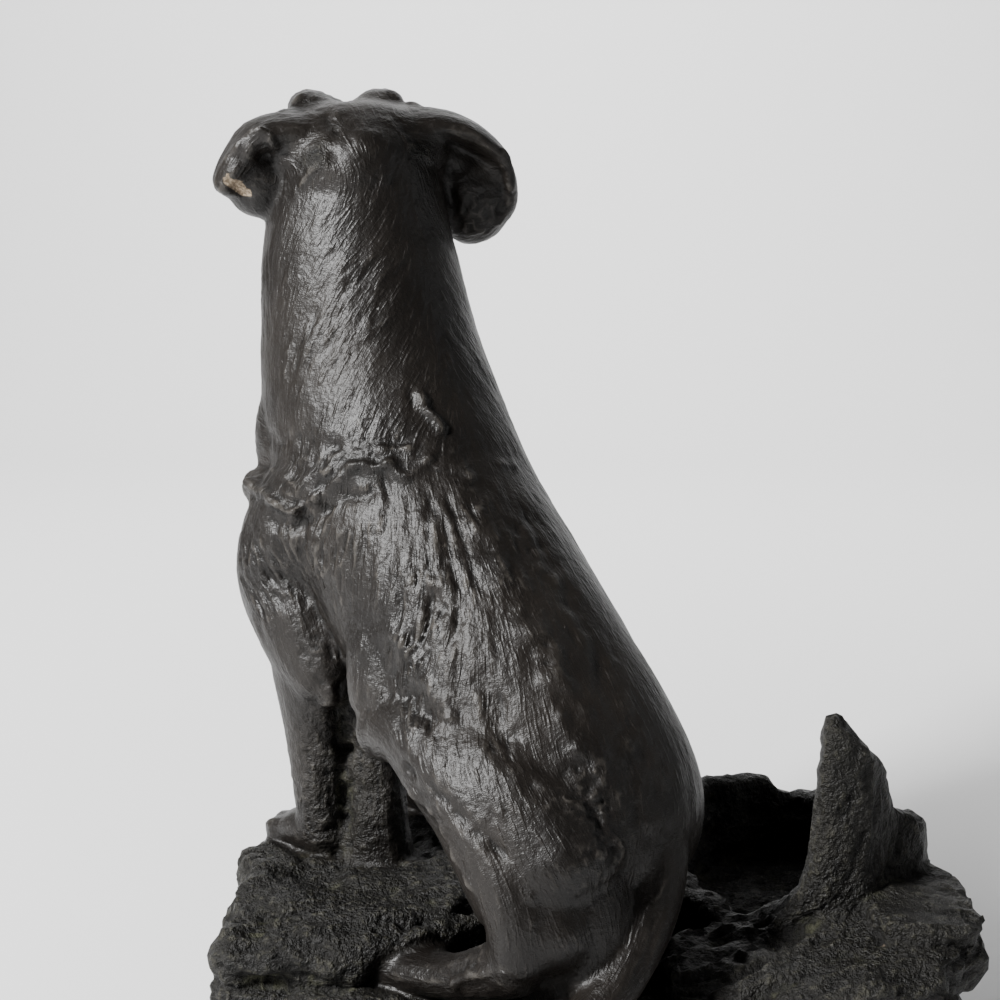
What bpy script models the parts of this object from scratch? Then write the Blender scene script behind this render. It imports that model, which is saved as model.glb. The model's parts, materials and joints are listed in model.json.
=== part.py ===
"""Seated labrador cast in one piece with its rocky base and the hollow broken stump beside it.

Frame: +Z up, origin under the middle of the base, the front of the base towards -Y.
The dog looks away over its right shoulder side, so its back and left flank face +Y.
Metres throughout; the dog's own points are shares of its height, as a modeller's scale drawing gives them.
"""

import math

import bmesh
import bpy
import numpy as np
from mathutils import Matrix

# Sizes that drive the piece, in metres
DOG_HEIGHT = 0.192
SEAT_HEIGHT = 0.030
BASE_LENGTH = 0.162
BASE_DEPTH = 0.116
LEDGE_HEIGHT = 0.0425
STUMP_LEDGE_HEIGHT = 0.040
STUMP_DEPTH = 0.076
STUMP_WIDTH = 0.065
STUMP_WALL = 0.006
SPLINTER_HEIGHT = 0.0895
HOLLOW_FLOOR = 0.031
BELOW = -0.006

# How the dog is set on the base
HEADING = math.radians(40)
SEAT_X = 0.0045
SEAT_Y = 0.022
HEAD_YAW = math.radians(15)
HEAD_PITCH = math.radians(10)
HEAD_ROLL = math.radians(-2)

# The dog is drawn at a height of 192 units, which are millimetres at its real size
DRAWN_HEIGHT = 192
SKULL_CENTRE = (77, 0, 174.6)
TOE_SPACING = 3.9
UNIT = DOG_HEIGHT / DRAWN_HEIGHT

# How finely it is merged and faceted
VOXEL = 0.0017
SMOOTHING = 6
TRIANGLES = 8800

# Beds of the rock and locks of the coat
BED_HEIGHT = 0.0105
BED_STEP = 0.0010
LOCK_SPACING = 0.0095
LOCK_DEPTH = 0.0006

BRONZE = (0.030, 0.026, 0.023, 1.0)


class Frame:
    """An origin with forward, left and up axes, in which a group of shapes is drawn."""

    def __init__(self, origin, forward, left, up, unit=UNIT):
        self.origin = np.array(origin, float)
        self.axes = np.array([forward, left, up], float)
        self.unit = unit

    def place(self, points):
        return self.origin + np.asarray(points, float) @ self.axes * self.unit

    def turn(self, directions):
        return np.asarray(directions, float) @ self.axes


def heading_axes(yaw):
    """Level forward and left directions of an animal that is turned by yaw from -Y towards +X."""
    forward = (math.sin(yaw), -math.cos(yaw), 0)
    left = (math.cos(yaw), math.sin(yaw), 0)
    return forward, left


def body_frame():
    forward, left = heading_axes(HEADING)
    return Frame((SEAT_X, SEAT_Y, SEAT_HEIGHT), forward, left, (0, 0, 1))


def head_frame(body):
    """The head's frame: raised by its pitch, tipped by its roll, centred in the skull."""
    forward, left = heading_axes(HEAD_YAW)
    turned = Matrix((forward, left, (0, 0, 1))).transposed()
    tipped = turned @ Matrix.Rotation(-HEAD_PITCH, 3, "Y") @ Matrix.Rotation(HEAD_ROLL, 3, "X")
    axes = np.array(tipped.transposed())
    return Frame(body.place(SKULL_CENTRE), *axes)


def curve_through(stations, rows):
    """Catmull-Rom curve through the stations, each a point with its radii, sampled at rows places."""
    s = np.asarray(stations, float)
    s = np.concatenate([2 * s[:1] - s[1:2], s, 2 * s[-1:] - s[-2:-1]])
    t = np.linspace(0, len(stations) - 1, rows)
    i = np.minimum(t.astype(int), len(stations) - 2)
    t = (t - i)[:, None]
    a, b, c, d = s[i], s[i + 1], s[i + 2], s[i + 3]
    return 0.5 * (2 * b + (c - a) * t + (2 * a - 5 * b + 4 * c - d) * t**2 + (3 * b - a - 3 * c + d) * t**3)


def unit_rows(v):
    return v / np.linalg.norm(v, axis=-1, keepdims=True)


def skin(rings):
    """Closes a stack of rings, whose first and last are single points, into vertices and faces."""
    count, sides = rings.shape[:2]
    points = np.concatenate([rings[0, :1], rings[1:-1].reshape(-1, 3), rings[-1, :1]])
    faces = []
    for row in range(count - 3):
        for side in range(sides):
            a = 1 + row * sides + side
            b = 1 + row * sides + (side + 1) % sides
            faces.append((a, b, b + sides, a + sides))
    last = len(points) - 1
    for side in range(sides):
        after = (side + 1) % sides
        faces.append((0, 1 + after, 1 + side))
        faces.append((last, last - sides + side, last - sides + after))
    return points, faces


def limb(frame, stations, across=(0, 1, 0), rows=18, sides=20, ends=5):
    """A rounded tube along stations of (forward, left, up, half width, half depth).

    Each ring is an ellipse square to the path; its width lies along the direction across.
    The two ends are domed by rings that shrink as a quarter circle while they move outwards.
    """
    path = curve_through(stations, rows)
    centre, width, depth = path[:, :3], path[:, 3], path[:, 4]
    tangent = unit_rows(np.gradient(centre, axis=0))
    dome = np.linspace(math.pi / 2, 0, ends, endpoint=False)
    reach = 0.8 * np.minimum(width, depth)
    first = centre[0] - tangent[0] * (reach[0] * np.sin(dome))[:, None]
    last = centre[-1] + tangent[-1] * (reach[-1] * np.sin(dome[::-1]))[:, None]
    shrink = np.cos(dome)
    centre = np.concatenate([first, centre, last])
    tangent = np.concatenate([np.repeat(tangent[:1], ends, 0), tangent, np.repeat(tangent[-1:], ends, 0)])
    width = np.concatenate([width[0] * shrink, width, width[-1] * shrink[::-1]])
    depth = np.concatenate([depth[0] * shrink, depth, depth[-1] * shrink[::-1]])
    side_on = np.asarray(across, float) - tangent * (tangent @ np.asarray(across, float))[:, None]
    side_on = unit_rows(side_on)
    front_on = np.cross(tangent, side_on)
    turn = np.linspace(0, 2 * math.pi, sides, endpoint=False)
    rings = (
        centre[:, None]
        + side_on[:, None] * (width[:, None] * np.cos(turn))[..., None]
        + front_on[:, None] * (depth[:, None] * np.sin(turn))[..., None]
    )
    points, faces = skin(rings)
    return frame.place(points), faces


def ball(frame, centre, radii, rows=11, sides=18):
    """An ellipsoid of (forward, left, up) radii: latitude rings from its lowest to its highest point."""
    lat = np.linspace(-math.pi / 2, math.pi / 2, rows)[:, None]
    turn = np.linspace(0, 2 * math.pi, sides, endpoint=False)
    unit = np.stack([np.cos(lat) * np.cos(turn), np.cos(lat) * np.sin(turn), np.sin(lat) + 0 * turn], -1)
    points, faces = skin(unit * np.asarray(radii, float))
    return frame.place(points + np.asarray(centre, float)), faces


def both_sides(make, frame, stations, **options):
    """The left limb and its mirror image on the right."""
    left = make(frame, stations, **options)
    mirrored = [(f, -l, *rest) for f, l, *rest in stations]
    points, faces = make(frame, mirrored, **options)
    return [left, (points, faces)]


def both_balls(frame, centre, radii):
    forward, left, up = centre
    return [ball(frame, centre, radii), ball(frame, (forward, -left, up), radii)]


def torso(body):
    """Trunk and neck: one tube that leans forward from the rump and rises to the skull."""
    trunk = [
        (1, 3, 12, 17, 15),
        (-2, 1, 26, 21, 20),
        (3, 0, 41, 26.5, 27),
        (15, 0, 55, 29, 29),
        (33, 0, 73, 29, 29.5),
        (50, 0, 89, 29.5, 30),
        (61.5, 0, 105, 28.5, 30.5),
        (69.5, 0, 122, 26.8, 29.5),
        (73.5, 0, 139, 24.3, 26.8),
        (76, 0, 155, 22.4, 24.5),
        (76, 0, 169, 19.5, 21),
    ]
    chest = [(66, 0, 105, 22, 18), (76, 0, 85, 18, 15), (72, 0, 67, 15, 13)]
    belly = [(62, 0, 70, 20, 16), (40, 0, 57, 19, 14), (20, 0, 42, 20, 15)]
    return [limb(body, trunk, rows=38, sides=28), limb(body, chest), limb(body, belly)]


def forelegs(body):
    """Shoulder, upper arm, forearm and paw; the paw stands on the ledge."""
    ground = (LEDGE_HEIGHT - SEAT_HEIGHT) / UNIT
    shoulder = [
        (54, 15, 112, 9, 12),
        (66, 21, 96, 11.5, 15),
        (75, 23, 82, 11, 14),
        (67, 23.5, 68, 10, 13),
        (59, 23.5, 59, 8, 9),
    ]
    pieces = both_sides(limb, body, shoulder)
    pieces += both_balls(body, (54.5, 24, 57), (4.5, 4.5, 5.5))
    for side, lean_forward, lean_in in ((1, 0, 0), (-1, 5, 3)):
        arm = [
            (67, side * 22.5, 72, 10, 12),
            (66, side * 22, 56, 8.5, 11),
            (66 + 0.4 * lean_forward, side * (21 - 0.4 * lean_in), 42, 7.2, 9),
            (65 + 0.75 * lean_forward, side * (20.5 - 0.75 * lean_in), 30, 6.8, 7.8),
            (65 + lean_forward, side * (20 - lean_in), ground + 10, 6.8, 7.2),
            (66 + lean_forward, side * (20 - lean_in), ground + 5, 7, 6),
        ]
        stand = (65 + lean_forward, side * (20 - lean_in))
        paw = [
            (stand[0] - 3, stand[1], ground + 5, 6.6, 5),
            (stand[0] + 5, stand[1], ground + 5, 7.8, 5.2),
            (stand[0] + 11, stand[1], ground + 3.5, 7.6, 4.2),
        ]
        pieces += [limb(body, arm), limb(body, paw, rows=8)]
        pieces += toes(body, (stand[0] + 14, stand[1], ground + 3))
    web = [
        (60, 12, 62, 8, 10),
        (58, 12, 48, 8, 10),
        (57.5, 12, 34, 7.5, 10),
        (56.5, 12.5, 22, 7.5, 10.5),
        (56, 12, 12, 9, 11),
    ]
    return pieces + [limb(body, web, rows=12, sides=16)]


def toes(body, front):
    """Four toes side by side across the front of a paw."""
    forward, left, up = front
    pieces = []
    for step in (-1.5, -0.5, 0.5, 1.5):
        back = 1.6 * (abs(step) - 0.5)
        pieces.append(ball(body, (forward - back, left + TOE_SPACING * step, up), (5.2, 2.3, 3.4)))
    return pieces


def hind_legs(body):
    """Rump, haunch, knee with the skin that hangs over it, shank, hock and the foot on the rock.

    The right leg is tucked in closer to the body, so it doesn't show past the rump from behind.
    """
    haunch = [
        (-11, 17, 30, 14.5, 19),
        (0, 19, 43, 14.5, 17),
        (11, 21, 50, 13.5, 13),
        (21, 22.5, 54, 12, 10),
        (30, 24, 54, 9, 8.5),
    ]
    shank = [
        (31, 25, 53, 8.5, 7.5),
        (21, 26, 54, 8.2, 7.5),
        (9, 27, 51, 8, 7.5),
        (-1, 27, 44, 8, 7.5),
        (-9, 27, 35, 7.8, 7.5),
        (-15, 27, 25, 7.2, 7.5),
        (-16, 27.5, 17, 6.5, 7),
    ]
    calf = [(17, 22.5, 54, 10, 7), (4, 23, 48, 10, 9), (-8, 22.5, 36, 10, 11), (-17, 20.5, 20, 10, 11)]
    foot = [
        (-15, 28, 15, 6, 6.5),
        (-5, 29, 9.5, 5.6, 5.6),
        (4, 30, 6, 6, 4.6),
        (13, 30.5, 4.5, 7, 4.4),
        (19, 30.5, 3.6, 7, 4),
    ]
    buttock = [(-15, 11, 8, 13, 13), (-12, 13, 24, 14, 16), (-3, 14, 38, 13, 17)]
    right_buttock = [(3, -6, 12, 11, 11), (-2, -8, 24, 14, 15), (0, -10, 38, 13, 17)]
    rump = [
        (-7, 0, 27, 19, 16),
        (-9, -2.5, 38, 23.5, 18.5),
        (0, -2, 52, 24, 19.5),
        (14, -1.5, 66, 23, 20),
        (26, -1, 78, 20, 18),
    ]
    flank = [(33, 24, 60, 8.8, 9), (36, 22.5, 70, 8.5, 9), (39, 20, 80, 8.5, 9)]
    pieces = [limb(body, calf), limb(body, buttock), limb(body, right_buttock), limb(body, rump, sides=28)]
    pieces += both_sides(limb, body, flank, rows=10)
    for side, tuck, ahead in ((1, 0, 0), (-1, 7, 11)):
        for bones in (haunch, shank, foot):
            placed = [(f + ahead, side * (l - tuck), u, w, d) for f, l, u, w, d in bones]
            pieces.append(limb(body, placed))
        pieces += toes(body, (22 + ahead, side * (30.5 - tuck), 3.4))
    return pieces


def tail(body):
    """Thick tail that leaves the rump low down and curls round the left haunch to the foot."""
    route = [
        (-12, -6, 44, 9, 9),
        (-19, -5, 34, 8.4, 8.4),
        (-24, -1, 25, 7, 7),
        (-27, 6, 17, 5.6, 6),
        (-29, 15, 10, 5, 5.2),
        (-29, 25, 5.5, 4.4, 4.6),
        (-24, 35, 3.8, 4, 4),
        (-13, 42, 3.4, 3.4, 3.4),
        (-3, 44.5, 3, 2.2, 2.2),
    ]
    return [limb(body, route, across=(0, 0, 1), rows=26, sides=14)]


def coat_fold(body):
    """The fold of coat that hangs round the neck where it joins the shoulders."""
    low = [
        (46, 8, 122, 2, 2),
        (47, 20, 113, 3, 3),
        (56, 26.5, 104, 3.6, 3.2),
        (68, 28, 99, 4, 3.6),
        (84, 25, 100, 4, 4.4),
    ]
    pieces = both_sides(limb, body, low, rows=20, sides=10)
    return pieces + both_balls(body, (80, 11, 111), (14, 14.5, 21))


def head(skull):
    """Skull, brows, muzzle, jaw, nose, eyes and cheeks."""
    muzzle = [
        (8, 0, -3, 15, 13),
        (17, 0, -4.5, 12.2, 11.4),
        (25, 0, -6.5, 10.6, 10.2),
        (32, 0, -7.5, 9.8, 9.4),
        (36, 0, -8, 8.6, 8.2),
    ]
    jaw = [(2, 0, -12, 13, 8), (14, 0, -15.5, 10, 6), (24, 0, -17, 8, 4.8), (31, 0, -17, 6.2, 3.6)]
    pieces = [
        ball(skull, (-1, 0, 0), (21, 18.5, 15.5)),
        ball(skull, (-13, 0, 4), (8, 9, 8)),
        ball(skull, (5, 0, 5), (15, 15, 11)),
        ball(skull, (-1, -1, 4.5), (15, 22, 11.7)),
        limb(skull, muzzle),
        limb(skull, jaw, rows=10),
        ball(skull, (39.5, 0, -3.5), (4, 5.4, 4.2)),
    ]
    pieces += both_balls(skull, (12.5, 8.6, 13.2), (8, 6.6, 5.2))
    pieces += both_balls(skull, (4, 12.5, -8), (11, 7, 10))
    pieces += both_balls(skull, (17.5, 9.6, 3.8), (3.6, 3.4, 3.4))
    pieces += both_balls(skull, (30, 5.4, -12.5), (9, 4.8, 6.5))
    return pieces + right_ear(skull) + left_ear(skull)


def right_ear(skull):
    """Whole ear: a thick leaf that stands out from the skull, folds over and hangs, flat at the back."""
    fold = [
        (0, -9, 9, 10, 4.5),
        (-1, -19, 10.5, 10, 3.6),
        (-1, -28, 7.5, 10, 3.2),
        (0, -34.5, 1, 9.5, 3),
        (2, -37, -8, 8.5, 3),
        (4, -34, -15, 6, 2.8),
    ]
    root = [(2, -14, 3, 9, 8), (2, -22, 0, 8, 9), (3, -27, -7, 7, 8)]
    return [
        limb(skull, fold, across=(1, 0, 0), rows=18),
        limb(skull, root, across=(1, 0, 0), rows=8),
        ball(skull, (0.5, -28.8, -6.2), (8.2, 10.3, 13.2)),
    ]


def left_ear(skull):
    """Broken ear: the same leaf held further out, with its tip gone and its underside filled."""
    fold = [
        (0, 9, 9, 10, 4.5),
        (-1, 17, 10, 10, 3.8),
        (-1, 24, 8.3, 9.5, 3.4),
        (0, 28.6, 2, 8.5, 3.4),
        (0.5, 30.6, -2.6, 7, 3.4),
    ]
    root = [(2, 12, 3, 9, 8), (2, 18, -1, 8, 9), (3, 22, -6, 6, 7)]
    return [
        limb(skull, fold, across=(1, 0, 0), rows=18),
        limb(skull, root, across=(1, 0, 0), rows=8),
        ball(skull, (1, 22.5, -2), (8, 8.5, 9)),
    ]


def ripple(x, y, z, scale):
    """Smooth bumps between -1 and 1: three crossed waves of about that length."""
    k = 2 * math.pi / scale
    a = np.sin(k * (x + 0.6 * y) + 1.3) * np.cos(k * (0.8 * z - 0.4 * x))
    b = np.sin(k * 1.37 * (y - 0.5 * z) + 0.4) * np.cos(k * 0.9 * (x + z) + 2.1)
    c = np.sin(k * 0.71 * (z + 0.7 * x - 0.3 * y) + 4.2)
    return (a + b + c) / 3


def rock(centre, half, top, foot, squareness=3.4, slope=(0, 0), taper=0.06, rough=0.0024, sides=64, seed=0):
    """A worn block: a squarish outline carried from the foot up to the top, then closed inwards.

    The outline is a superellipse of the given squareness with broad bumps. Each tier is pushed in
    or out like a bed of layered stone, and bumps roughen all of it. slope tips the top along X and Y.
    """
    turn = np.linspace(0, 2 * math.pi, sides, endpoint=False)
    outline = (np.abs(np.cos(turn)) ** squareness + np.abs(np.sin(turn)) ** squareness) ** (-1 / squareness)
    outline = outline * (1 + 0.035 * np.cos(3 * turn + seed) + 0.025 * np.cos(7 * turn + 2.3 * seed))
    tiers = np.linspace(0, 1, 14)
    inward = np.cos(np.linspace(0.32, math.pi / 2, 9))
    height = np.concatenate([[0], tiers, np.ones(len(inward))])
    reach = np.concatenate([[0], 1 - taper * tiers**2, (1 - taper) * inward])
    x = centre[0] + half[0] * np.outer(reach, outline * np.cos(turn))
    y = centre[1] + half[1] * np.outer(reach, outline * np.sin(turn))
    tip = slope[0] * (x - centre[0]) + slope[1] * (y - centre[1])
    z = foot + (top - foot + tip) * height[:, None]
    layer = z + 0.05 * x + 0.0025 * ripple(x, y, 0 * z + seed, 0.06)
    bed = BED_STEP * np.tanh(4 * np.sin(layer * 2 * math.pi / BED_HEIGHT + seed))
    bumps = rough * ripple(x, y, z, 0.034) + 0.5 * rough * ripple(y, z, x, 0.014)
    push = (bed + bumps) * (reach > 0)[:, None]
    away = unit_rows(np.stack([x - centre[0], y - centre[1]], -1) + 1e-9)
    x = x + push * away[..., 0]
    y = y + push * away[..., 1]
    z = z + (height == 1)[:, None] * rough * ripple(x, y, 0 * z, 0.026)
    rings = np.stack([x, y, z], -1)
    rings[0], rings[-1] = rings[0].mean(0), rings[-1].mean(0)
    return skin(rings)


def base_rocks():
    """The slab, the ledges under the forepaws and the belly, and the ledge under the stump."""
    side = BASE_LENGTH / 2
    back = BASE_DEPTH / 2
    top = LEDGE_HEIGHT
    ledge = STUMP_LEDGE_HEIGHT
    return [
        rock((0, 0), (side - 0.002, back), SEAT_HEIGHT, BELOW, 3, rough=0.002, sides=96, seed=1.7),
        rock((side - 0.029, -0.006), (0.029, 0.034), top, BELOW, 2.8, slope=(0.02, 0.06), seed=0.4),
        rock((0.036, -0.034), (0.025, 0.023), top, BELOW, 3, seed=4.2),
        rock((side - 0.026, 0.013), (0.027, 0.021), top, BELOW, 5, slope=(0.02, -0.05), seed=2.9),
        rock((0.030, -0.010), (0.026, 0.034), top - 0.002, BELOW, 2.6, seed=3.3),
        rock((0.036 - side, 0.035), (0.031, 0.018), ledge, BELOW, slope=(-0.2, -0.2), seed=5.1),
        rock((0.010 - side, 0.024), (0.0115, 0.017), ledge + 0.008, 0.033, rough=0.001, seed=6.3),
    ]


def rim_height(turn):
    """Height of the stump's broken rim at each angle round it, counted from +X towards +Y.

    Low towards the dog, then one tall splinter that stands up like a blade and falls away to the
    right, a knob behind it, and a lower uneven edge along the far side.
    """
    low = STUMP_LEDGE_HEIGHT + 0.001
    rise = {
        0: 0.05, 30: 0.02, 60: 0.00, 69: 0.02, 75: 0.07, 81: 0.15, 86: 0.24, 89: 0.36, 90.5: 0.66,
        92: 0.98, 96: 1.00, 102: 0.95, 108: 0.87, 115: 0.79, 121: 0.73, 125: 0.62, 128: 0.50,
        136: 0.46, 148: 0.42, 156: 0.33, 162: 0.20, 175: 0.10, 205: 0.14, 239: 0.16, 257: 0.11,
        264: 0.14, 269: 0.21, 285: 0.23, 304: 0.23, 318: 0.20, 335: 0.10, 360: 0.05,
    }
    share = np.interp(np.degrees(turn) % 360, list(rise), list(rise.values()))
    return low + (SPLINTER_HEIGHT - low) * share


def stump():
    """Hollow broken trunk: up the bark, over the ragged rim, down inside and across the floor."""
    turn = np.linspace(0, 2 * math.pi, 160, endpoint=False)
    rim = rim_height(turn)
    flute = 1 + 0.03 * np.cos(7 * turn + 0.6) + 0.02 * np.cos(13 * turn)
    outside = np.stack([STUMP_WIDTH / 2 * flute * np.cos(turn), STUMP_DEPTH / 2 * flute * np.sin(turn)], -1)
    length = np.linalg.norm(outside, axis=-1, keepdims=True)
    inside = outside * (1 - STUMP_WALL / length)
    centre = np.array([-BASE_LENGTH / 2 + 0.032, -0.010])

    def ring(plan, grow, height):
        return np.concatenate([centre + plan * grow, (height + 0 * turn)[:, None]], -1)

    rings = [ring(outside, 0, BELOW)]
    up = np.linspace(0, 0.98, 12)
    rings += [ring(outside, 1.04 - 0.08 * s, BELOW + (rim - BELOW) * s) for s in up]
    rings += [ring(outside, 0.955 - 0.5 * STUMP_WALL / length, rim)]
    down = np.linspace(0.03, 1, 9)
    rings += [ring(inside, 0.96 - 0.05 * s, rim + (HOLLOW_FLOOR - rim) * s) for s in down]
    rings += [ring(inside, 0.45, HOLLOW_FLOOR), ring(inside, 0, HOLLOW_FLOOR)]
    return skin(np.array(rings))


def joined(name, shapes):
    """All the shapes as one object, still overlapping."""
    points = np.concatenate([p for p, _ in shapes])
    faces = []
    first = 0
    for p, f in shapes:
        faces += [tuple(first + i for i in face) for face in f]
        first += len(p)
    mesh = bpy.data.meshes.new(name)
    mesh.from_pydata(points.tolist(), [], faces)
    outward(mesh)
    obj = bpy.data.objects.new(name, mesh)
    bpy.context.scene.collection.objects.link(obj)
    return obj


def outward(mesh):
    work = bmesh.new()
    work.from_mesh(mesh)
    bmesh.ops.recalc_face_normals(work, faces=work.faces)
    work.to_mesh(mesh)
    work.free()


def clear_scene():
    for obj in list(bpy.data.objects):
        bpy.data.objects.remove(obj)


def bronze_finish():
    material = bpy.data.materials.new("bronze_patina")
    material.use_nodes = True
    shader = material.node_tree.nodes["Principled BSDF"]
    shader.inputs["Base Color"].default_value = BRONZE
    shader.inputs["Roughness"].default_value = 0.38
    shader.inputs["Metallic"].default_value = 0.35
    return material


def floor_cutter():
    """A block below Z = 0, which trims the underside flat."""
    mesh = bpy.data.meshes.new("floor_cutter")
    work = bmesh.new()
    bmesh.ops.create_cube(work, size=1)
    work.to_mesh(mesh)
    work.free()
    cutter = bpy.data.objects.new("floor_cutter", mesh)
    bpy.context.scene.collection.objects.link(cutter)
    deep = 0.05
    mesh.transform(Matrix.Diagonal((4 * BASE_LENGTH, 4 * BASE_DEPTH, deep, 1)))
    cutter.location.z = -deep / 2
    cutter.hide_render = True
    cutter.display_type = "WIRE"
    return cutter


def carve(obj, body):
    """Works the softened solid with the tool: long locks down the coat, rough beds on the rock.

    Locks are waves stretched along the lie of the coat, which runs down and back along the dog.
    Rock is everything below the ledge or too far to the side to be dog, and gets small bumps only.
    """
    bpy.context.view_layer.update()
    solid = obj.evaluated_get(bpy.context.evaluated_depsgraph_get())
    mesh = bpy.data.meshes.new_from_object(solid)
    obj.modifiers.clear()
    obj.data = mesh
    count = len(mesh.vertices)
    points = np.empty(count * 3, np.float32)
    normals = np.empty(count * 3, np.float32)
    mesh.vertices.foreach_get("co", points)
    mesh.vertices.foreach_get("normal", normals)
    points, normals = points.reshape(-1, 3).astype(float), normals.reshape(-1, 3)
    drawn = (points - body.origin) @ body.axes.T
    lie = -0.55 * drawn[:, 0] - 0.83 * drawn[:, 2]
    square = 0.83 * drawn[:, 0] - 0.55 * drawn[:, 2]
    locks = ripple(drawn[:, 1] + 0.15 * lie, square, 0.22 * lie, LOCK_SPACING)
    reach = np.abs(drawn[:, 1]) < 0.040
    coat = np.clip((points[:, 2] - LEDGE_HEIGHT) / 0.006, 0, 1) * reach * (drawn[:, 0] > -0.040 * reach)
    chips = ripple(points[:, 0], points[:, 1], 2 * points[:, 2], 0.017)
    depth = LOCK_DEPTH * locks * coat + 0.6 * LOCK_DEPTH * chips * (1 - coat)
    points += normals * depth[:, None]
    mesh.vertices.foreach_set("co", points.astype(np.float32).ravel())
    mesh.update()


def triangle_count(obj):
    bpy.context.view_layer.update()
    mesh = obj.evaluated_get(bpy.context.evaluated_depsgraph_get()).to_mesh()
    mesh.calc_loop_triangles()
    return len(mesh.loop_triangles)


def centre_over_origin(obj):
    """Moves the mesh so that the middle of its bounding box lies over the origin."""
    bpy.context.view_layer.update()
    mesh = obj.evaluated_get(bpy.context.evaluated_depsgraph_get()).to_mesh()
    points = np.empty(len(mesh.vertices) * 3, np.float32)
    mesh.vertices.foreach_get("co", points)
    points = points.reshape(-1, 3)
    middle = (points.min(0) + points.max(0)) / 2
    print("moved by", [round(float(-v) * 1000, 3) for v in middle[:2]], "mm")
    obj.data.transform(Matrix.Translation((-middle[0], -middle[1], 0)))


def main():
    clear_scene()
    body = body_frame()
    skull = head_frame(body)
    shapes = torso(body) + forelegs(body) + hind_legs(body) + tail(body) + coat_fold(body) + head(skull)
    shapes += base_rocks() + [stump()]
    figure = joined("labrador_figurine", shapes)
    merge = figure.modifiers.new("merge", "REMESH")
    merge.mode = "VOXEL"
    merge.voxel_size = VOXEL
    soften = figure.modifiers.new("soften", "SMOOTH")
    soften.factor = 0.5
    soften.iterations = SMOOTHING
    carve(figure, body)
    facet = figure.modifiers.new("facet", "DECIMATE")
    facet.ratio = TRIANGLES / triangle_count(figure)
    trim = figure.modifiers.new("trim", "BOOLEAN")
    trim.operation = "DIFFERENCE"
    trim.object = floor_cutter()
    centre_over_origin(figure)
    figure.data.materials.append(bronze_finish())


main()
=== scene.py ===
# %% [markdown]
# # Seated labrador on a rocky base, with a hollow broken stump
#
# The CAD part gives the true outline of this one-piece figurine. Here the same forms are modelled
# again more finely, then worked over as a modeller works wax: strokes of the tool along the lie of
# the coat, beds and chips in the rock, folds and lids that the faceted solid can't hold. Last come
# the patina, a pale studio, and a camera that stands where the photographer stood.

import json
import math

import bpy
import bmesh
import numpy as np
from mathutils import Matrix, Vector

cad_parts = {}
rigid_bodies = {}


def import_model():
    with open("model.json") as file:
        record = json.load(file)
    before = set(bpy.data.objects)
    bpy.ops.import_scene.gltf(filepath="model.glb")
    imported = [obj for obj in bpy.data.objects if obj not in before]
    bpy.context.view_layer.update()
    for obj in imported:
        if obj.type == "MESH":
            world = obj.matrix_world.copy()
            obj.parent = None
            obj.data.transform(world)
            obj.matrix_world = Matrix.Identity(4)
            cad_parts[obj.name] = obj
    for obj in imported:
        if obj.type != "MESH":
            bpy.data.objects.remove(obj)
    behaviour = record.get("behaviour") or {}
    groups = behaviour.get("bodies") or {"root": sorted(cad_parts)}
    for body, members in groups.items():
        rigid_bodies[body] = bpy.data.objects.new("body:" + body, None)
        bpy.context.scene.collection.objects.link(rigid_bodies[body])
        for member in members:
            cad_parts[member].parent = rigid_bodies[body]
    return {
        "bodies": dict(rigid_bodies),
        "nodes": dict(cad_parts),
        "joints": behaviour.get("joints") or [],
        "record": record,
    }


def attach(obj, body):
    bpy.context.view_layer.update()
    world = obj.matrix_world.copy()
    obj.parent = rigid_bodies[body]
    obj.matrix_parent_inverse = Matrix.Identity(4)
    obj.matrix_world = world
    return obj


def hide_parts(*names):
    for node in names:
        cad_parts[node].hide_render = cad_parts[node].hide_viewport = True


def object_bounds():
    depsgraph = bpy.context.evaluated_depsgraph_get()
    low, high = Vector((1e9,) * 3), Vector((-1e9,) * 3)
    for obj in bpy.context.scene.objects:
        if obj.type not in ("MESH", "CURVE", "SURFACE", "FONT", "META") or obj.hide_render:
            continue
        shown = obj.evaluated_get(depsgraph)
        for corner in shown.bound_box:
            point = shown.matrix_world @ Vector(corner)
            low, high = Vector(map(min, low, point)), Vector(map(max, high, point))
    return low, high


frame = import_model()
CAD_LOW, CAD_HIGH = [np.array(corner, float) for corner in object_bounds()]
print("CAD box, mm:", np.round(1000 * CAD_LOW, 1), np.round(1000 * CAD_HIGH, 1))

# %% [markdown]
# ## Sizes
#
# Everything is in metres. The dog is drawn in units that are millimetres at its real height, in its own
# frame: forward, left, up, counted from the rock that it sits on. `MOVED` carries the drawing to where
# the CAD part has it, with the middle of its box over the origin. `MM` turns metres into millimetres
# and `METRE` turns them back.

# %% Sizes that drive the figurine
DOG_HEIGHT = 0.192
SEAT_HEIGHT = 0.030
BASE_LENGTH = 0.162
BASE_DEPTH = 0.116
LEDGE_HEIGHT = 0.0425
STUMP_LEDGE_HEIGHT = 0.040
STUMP_DEPTH = 0.076
STUMP_WIDTH = 0.065
STUMP_WALL = 0.006
SPLINTER_HEIGHT = 0.0895
HOLLOW_FLOOR = 0.031
BELOW = -0.006
BED_HEIGHT = 0.0105
BED_STEP = 0.0010
TAPER = 0.06

HEADING = math.radians(40)
SEAT_X = 0.0045
SEAT_Y = 0.022
HEAD_YAW = math.radians(15)
HEAD_PITCH = math.radians(10)
HEAD_ROLL = math.radians(-2)
SKULL_CENTRE = (77, 0, 174.6)
MOVED = np.array([-0.001554, 0.006305, 0.0])

DRAWN_HEIGHT = 192
UNIT = DOG_HEIGHT / DRAWN_HEIGHT
TOE_SPACING = 3.9

FINE = 0.00070
TRIANGLES = 193000
BOX_MARGIN = 0.0008
MM = 1000
METRE = 0.001

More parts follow.
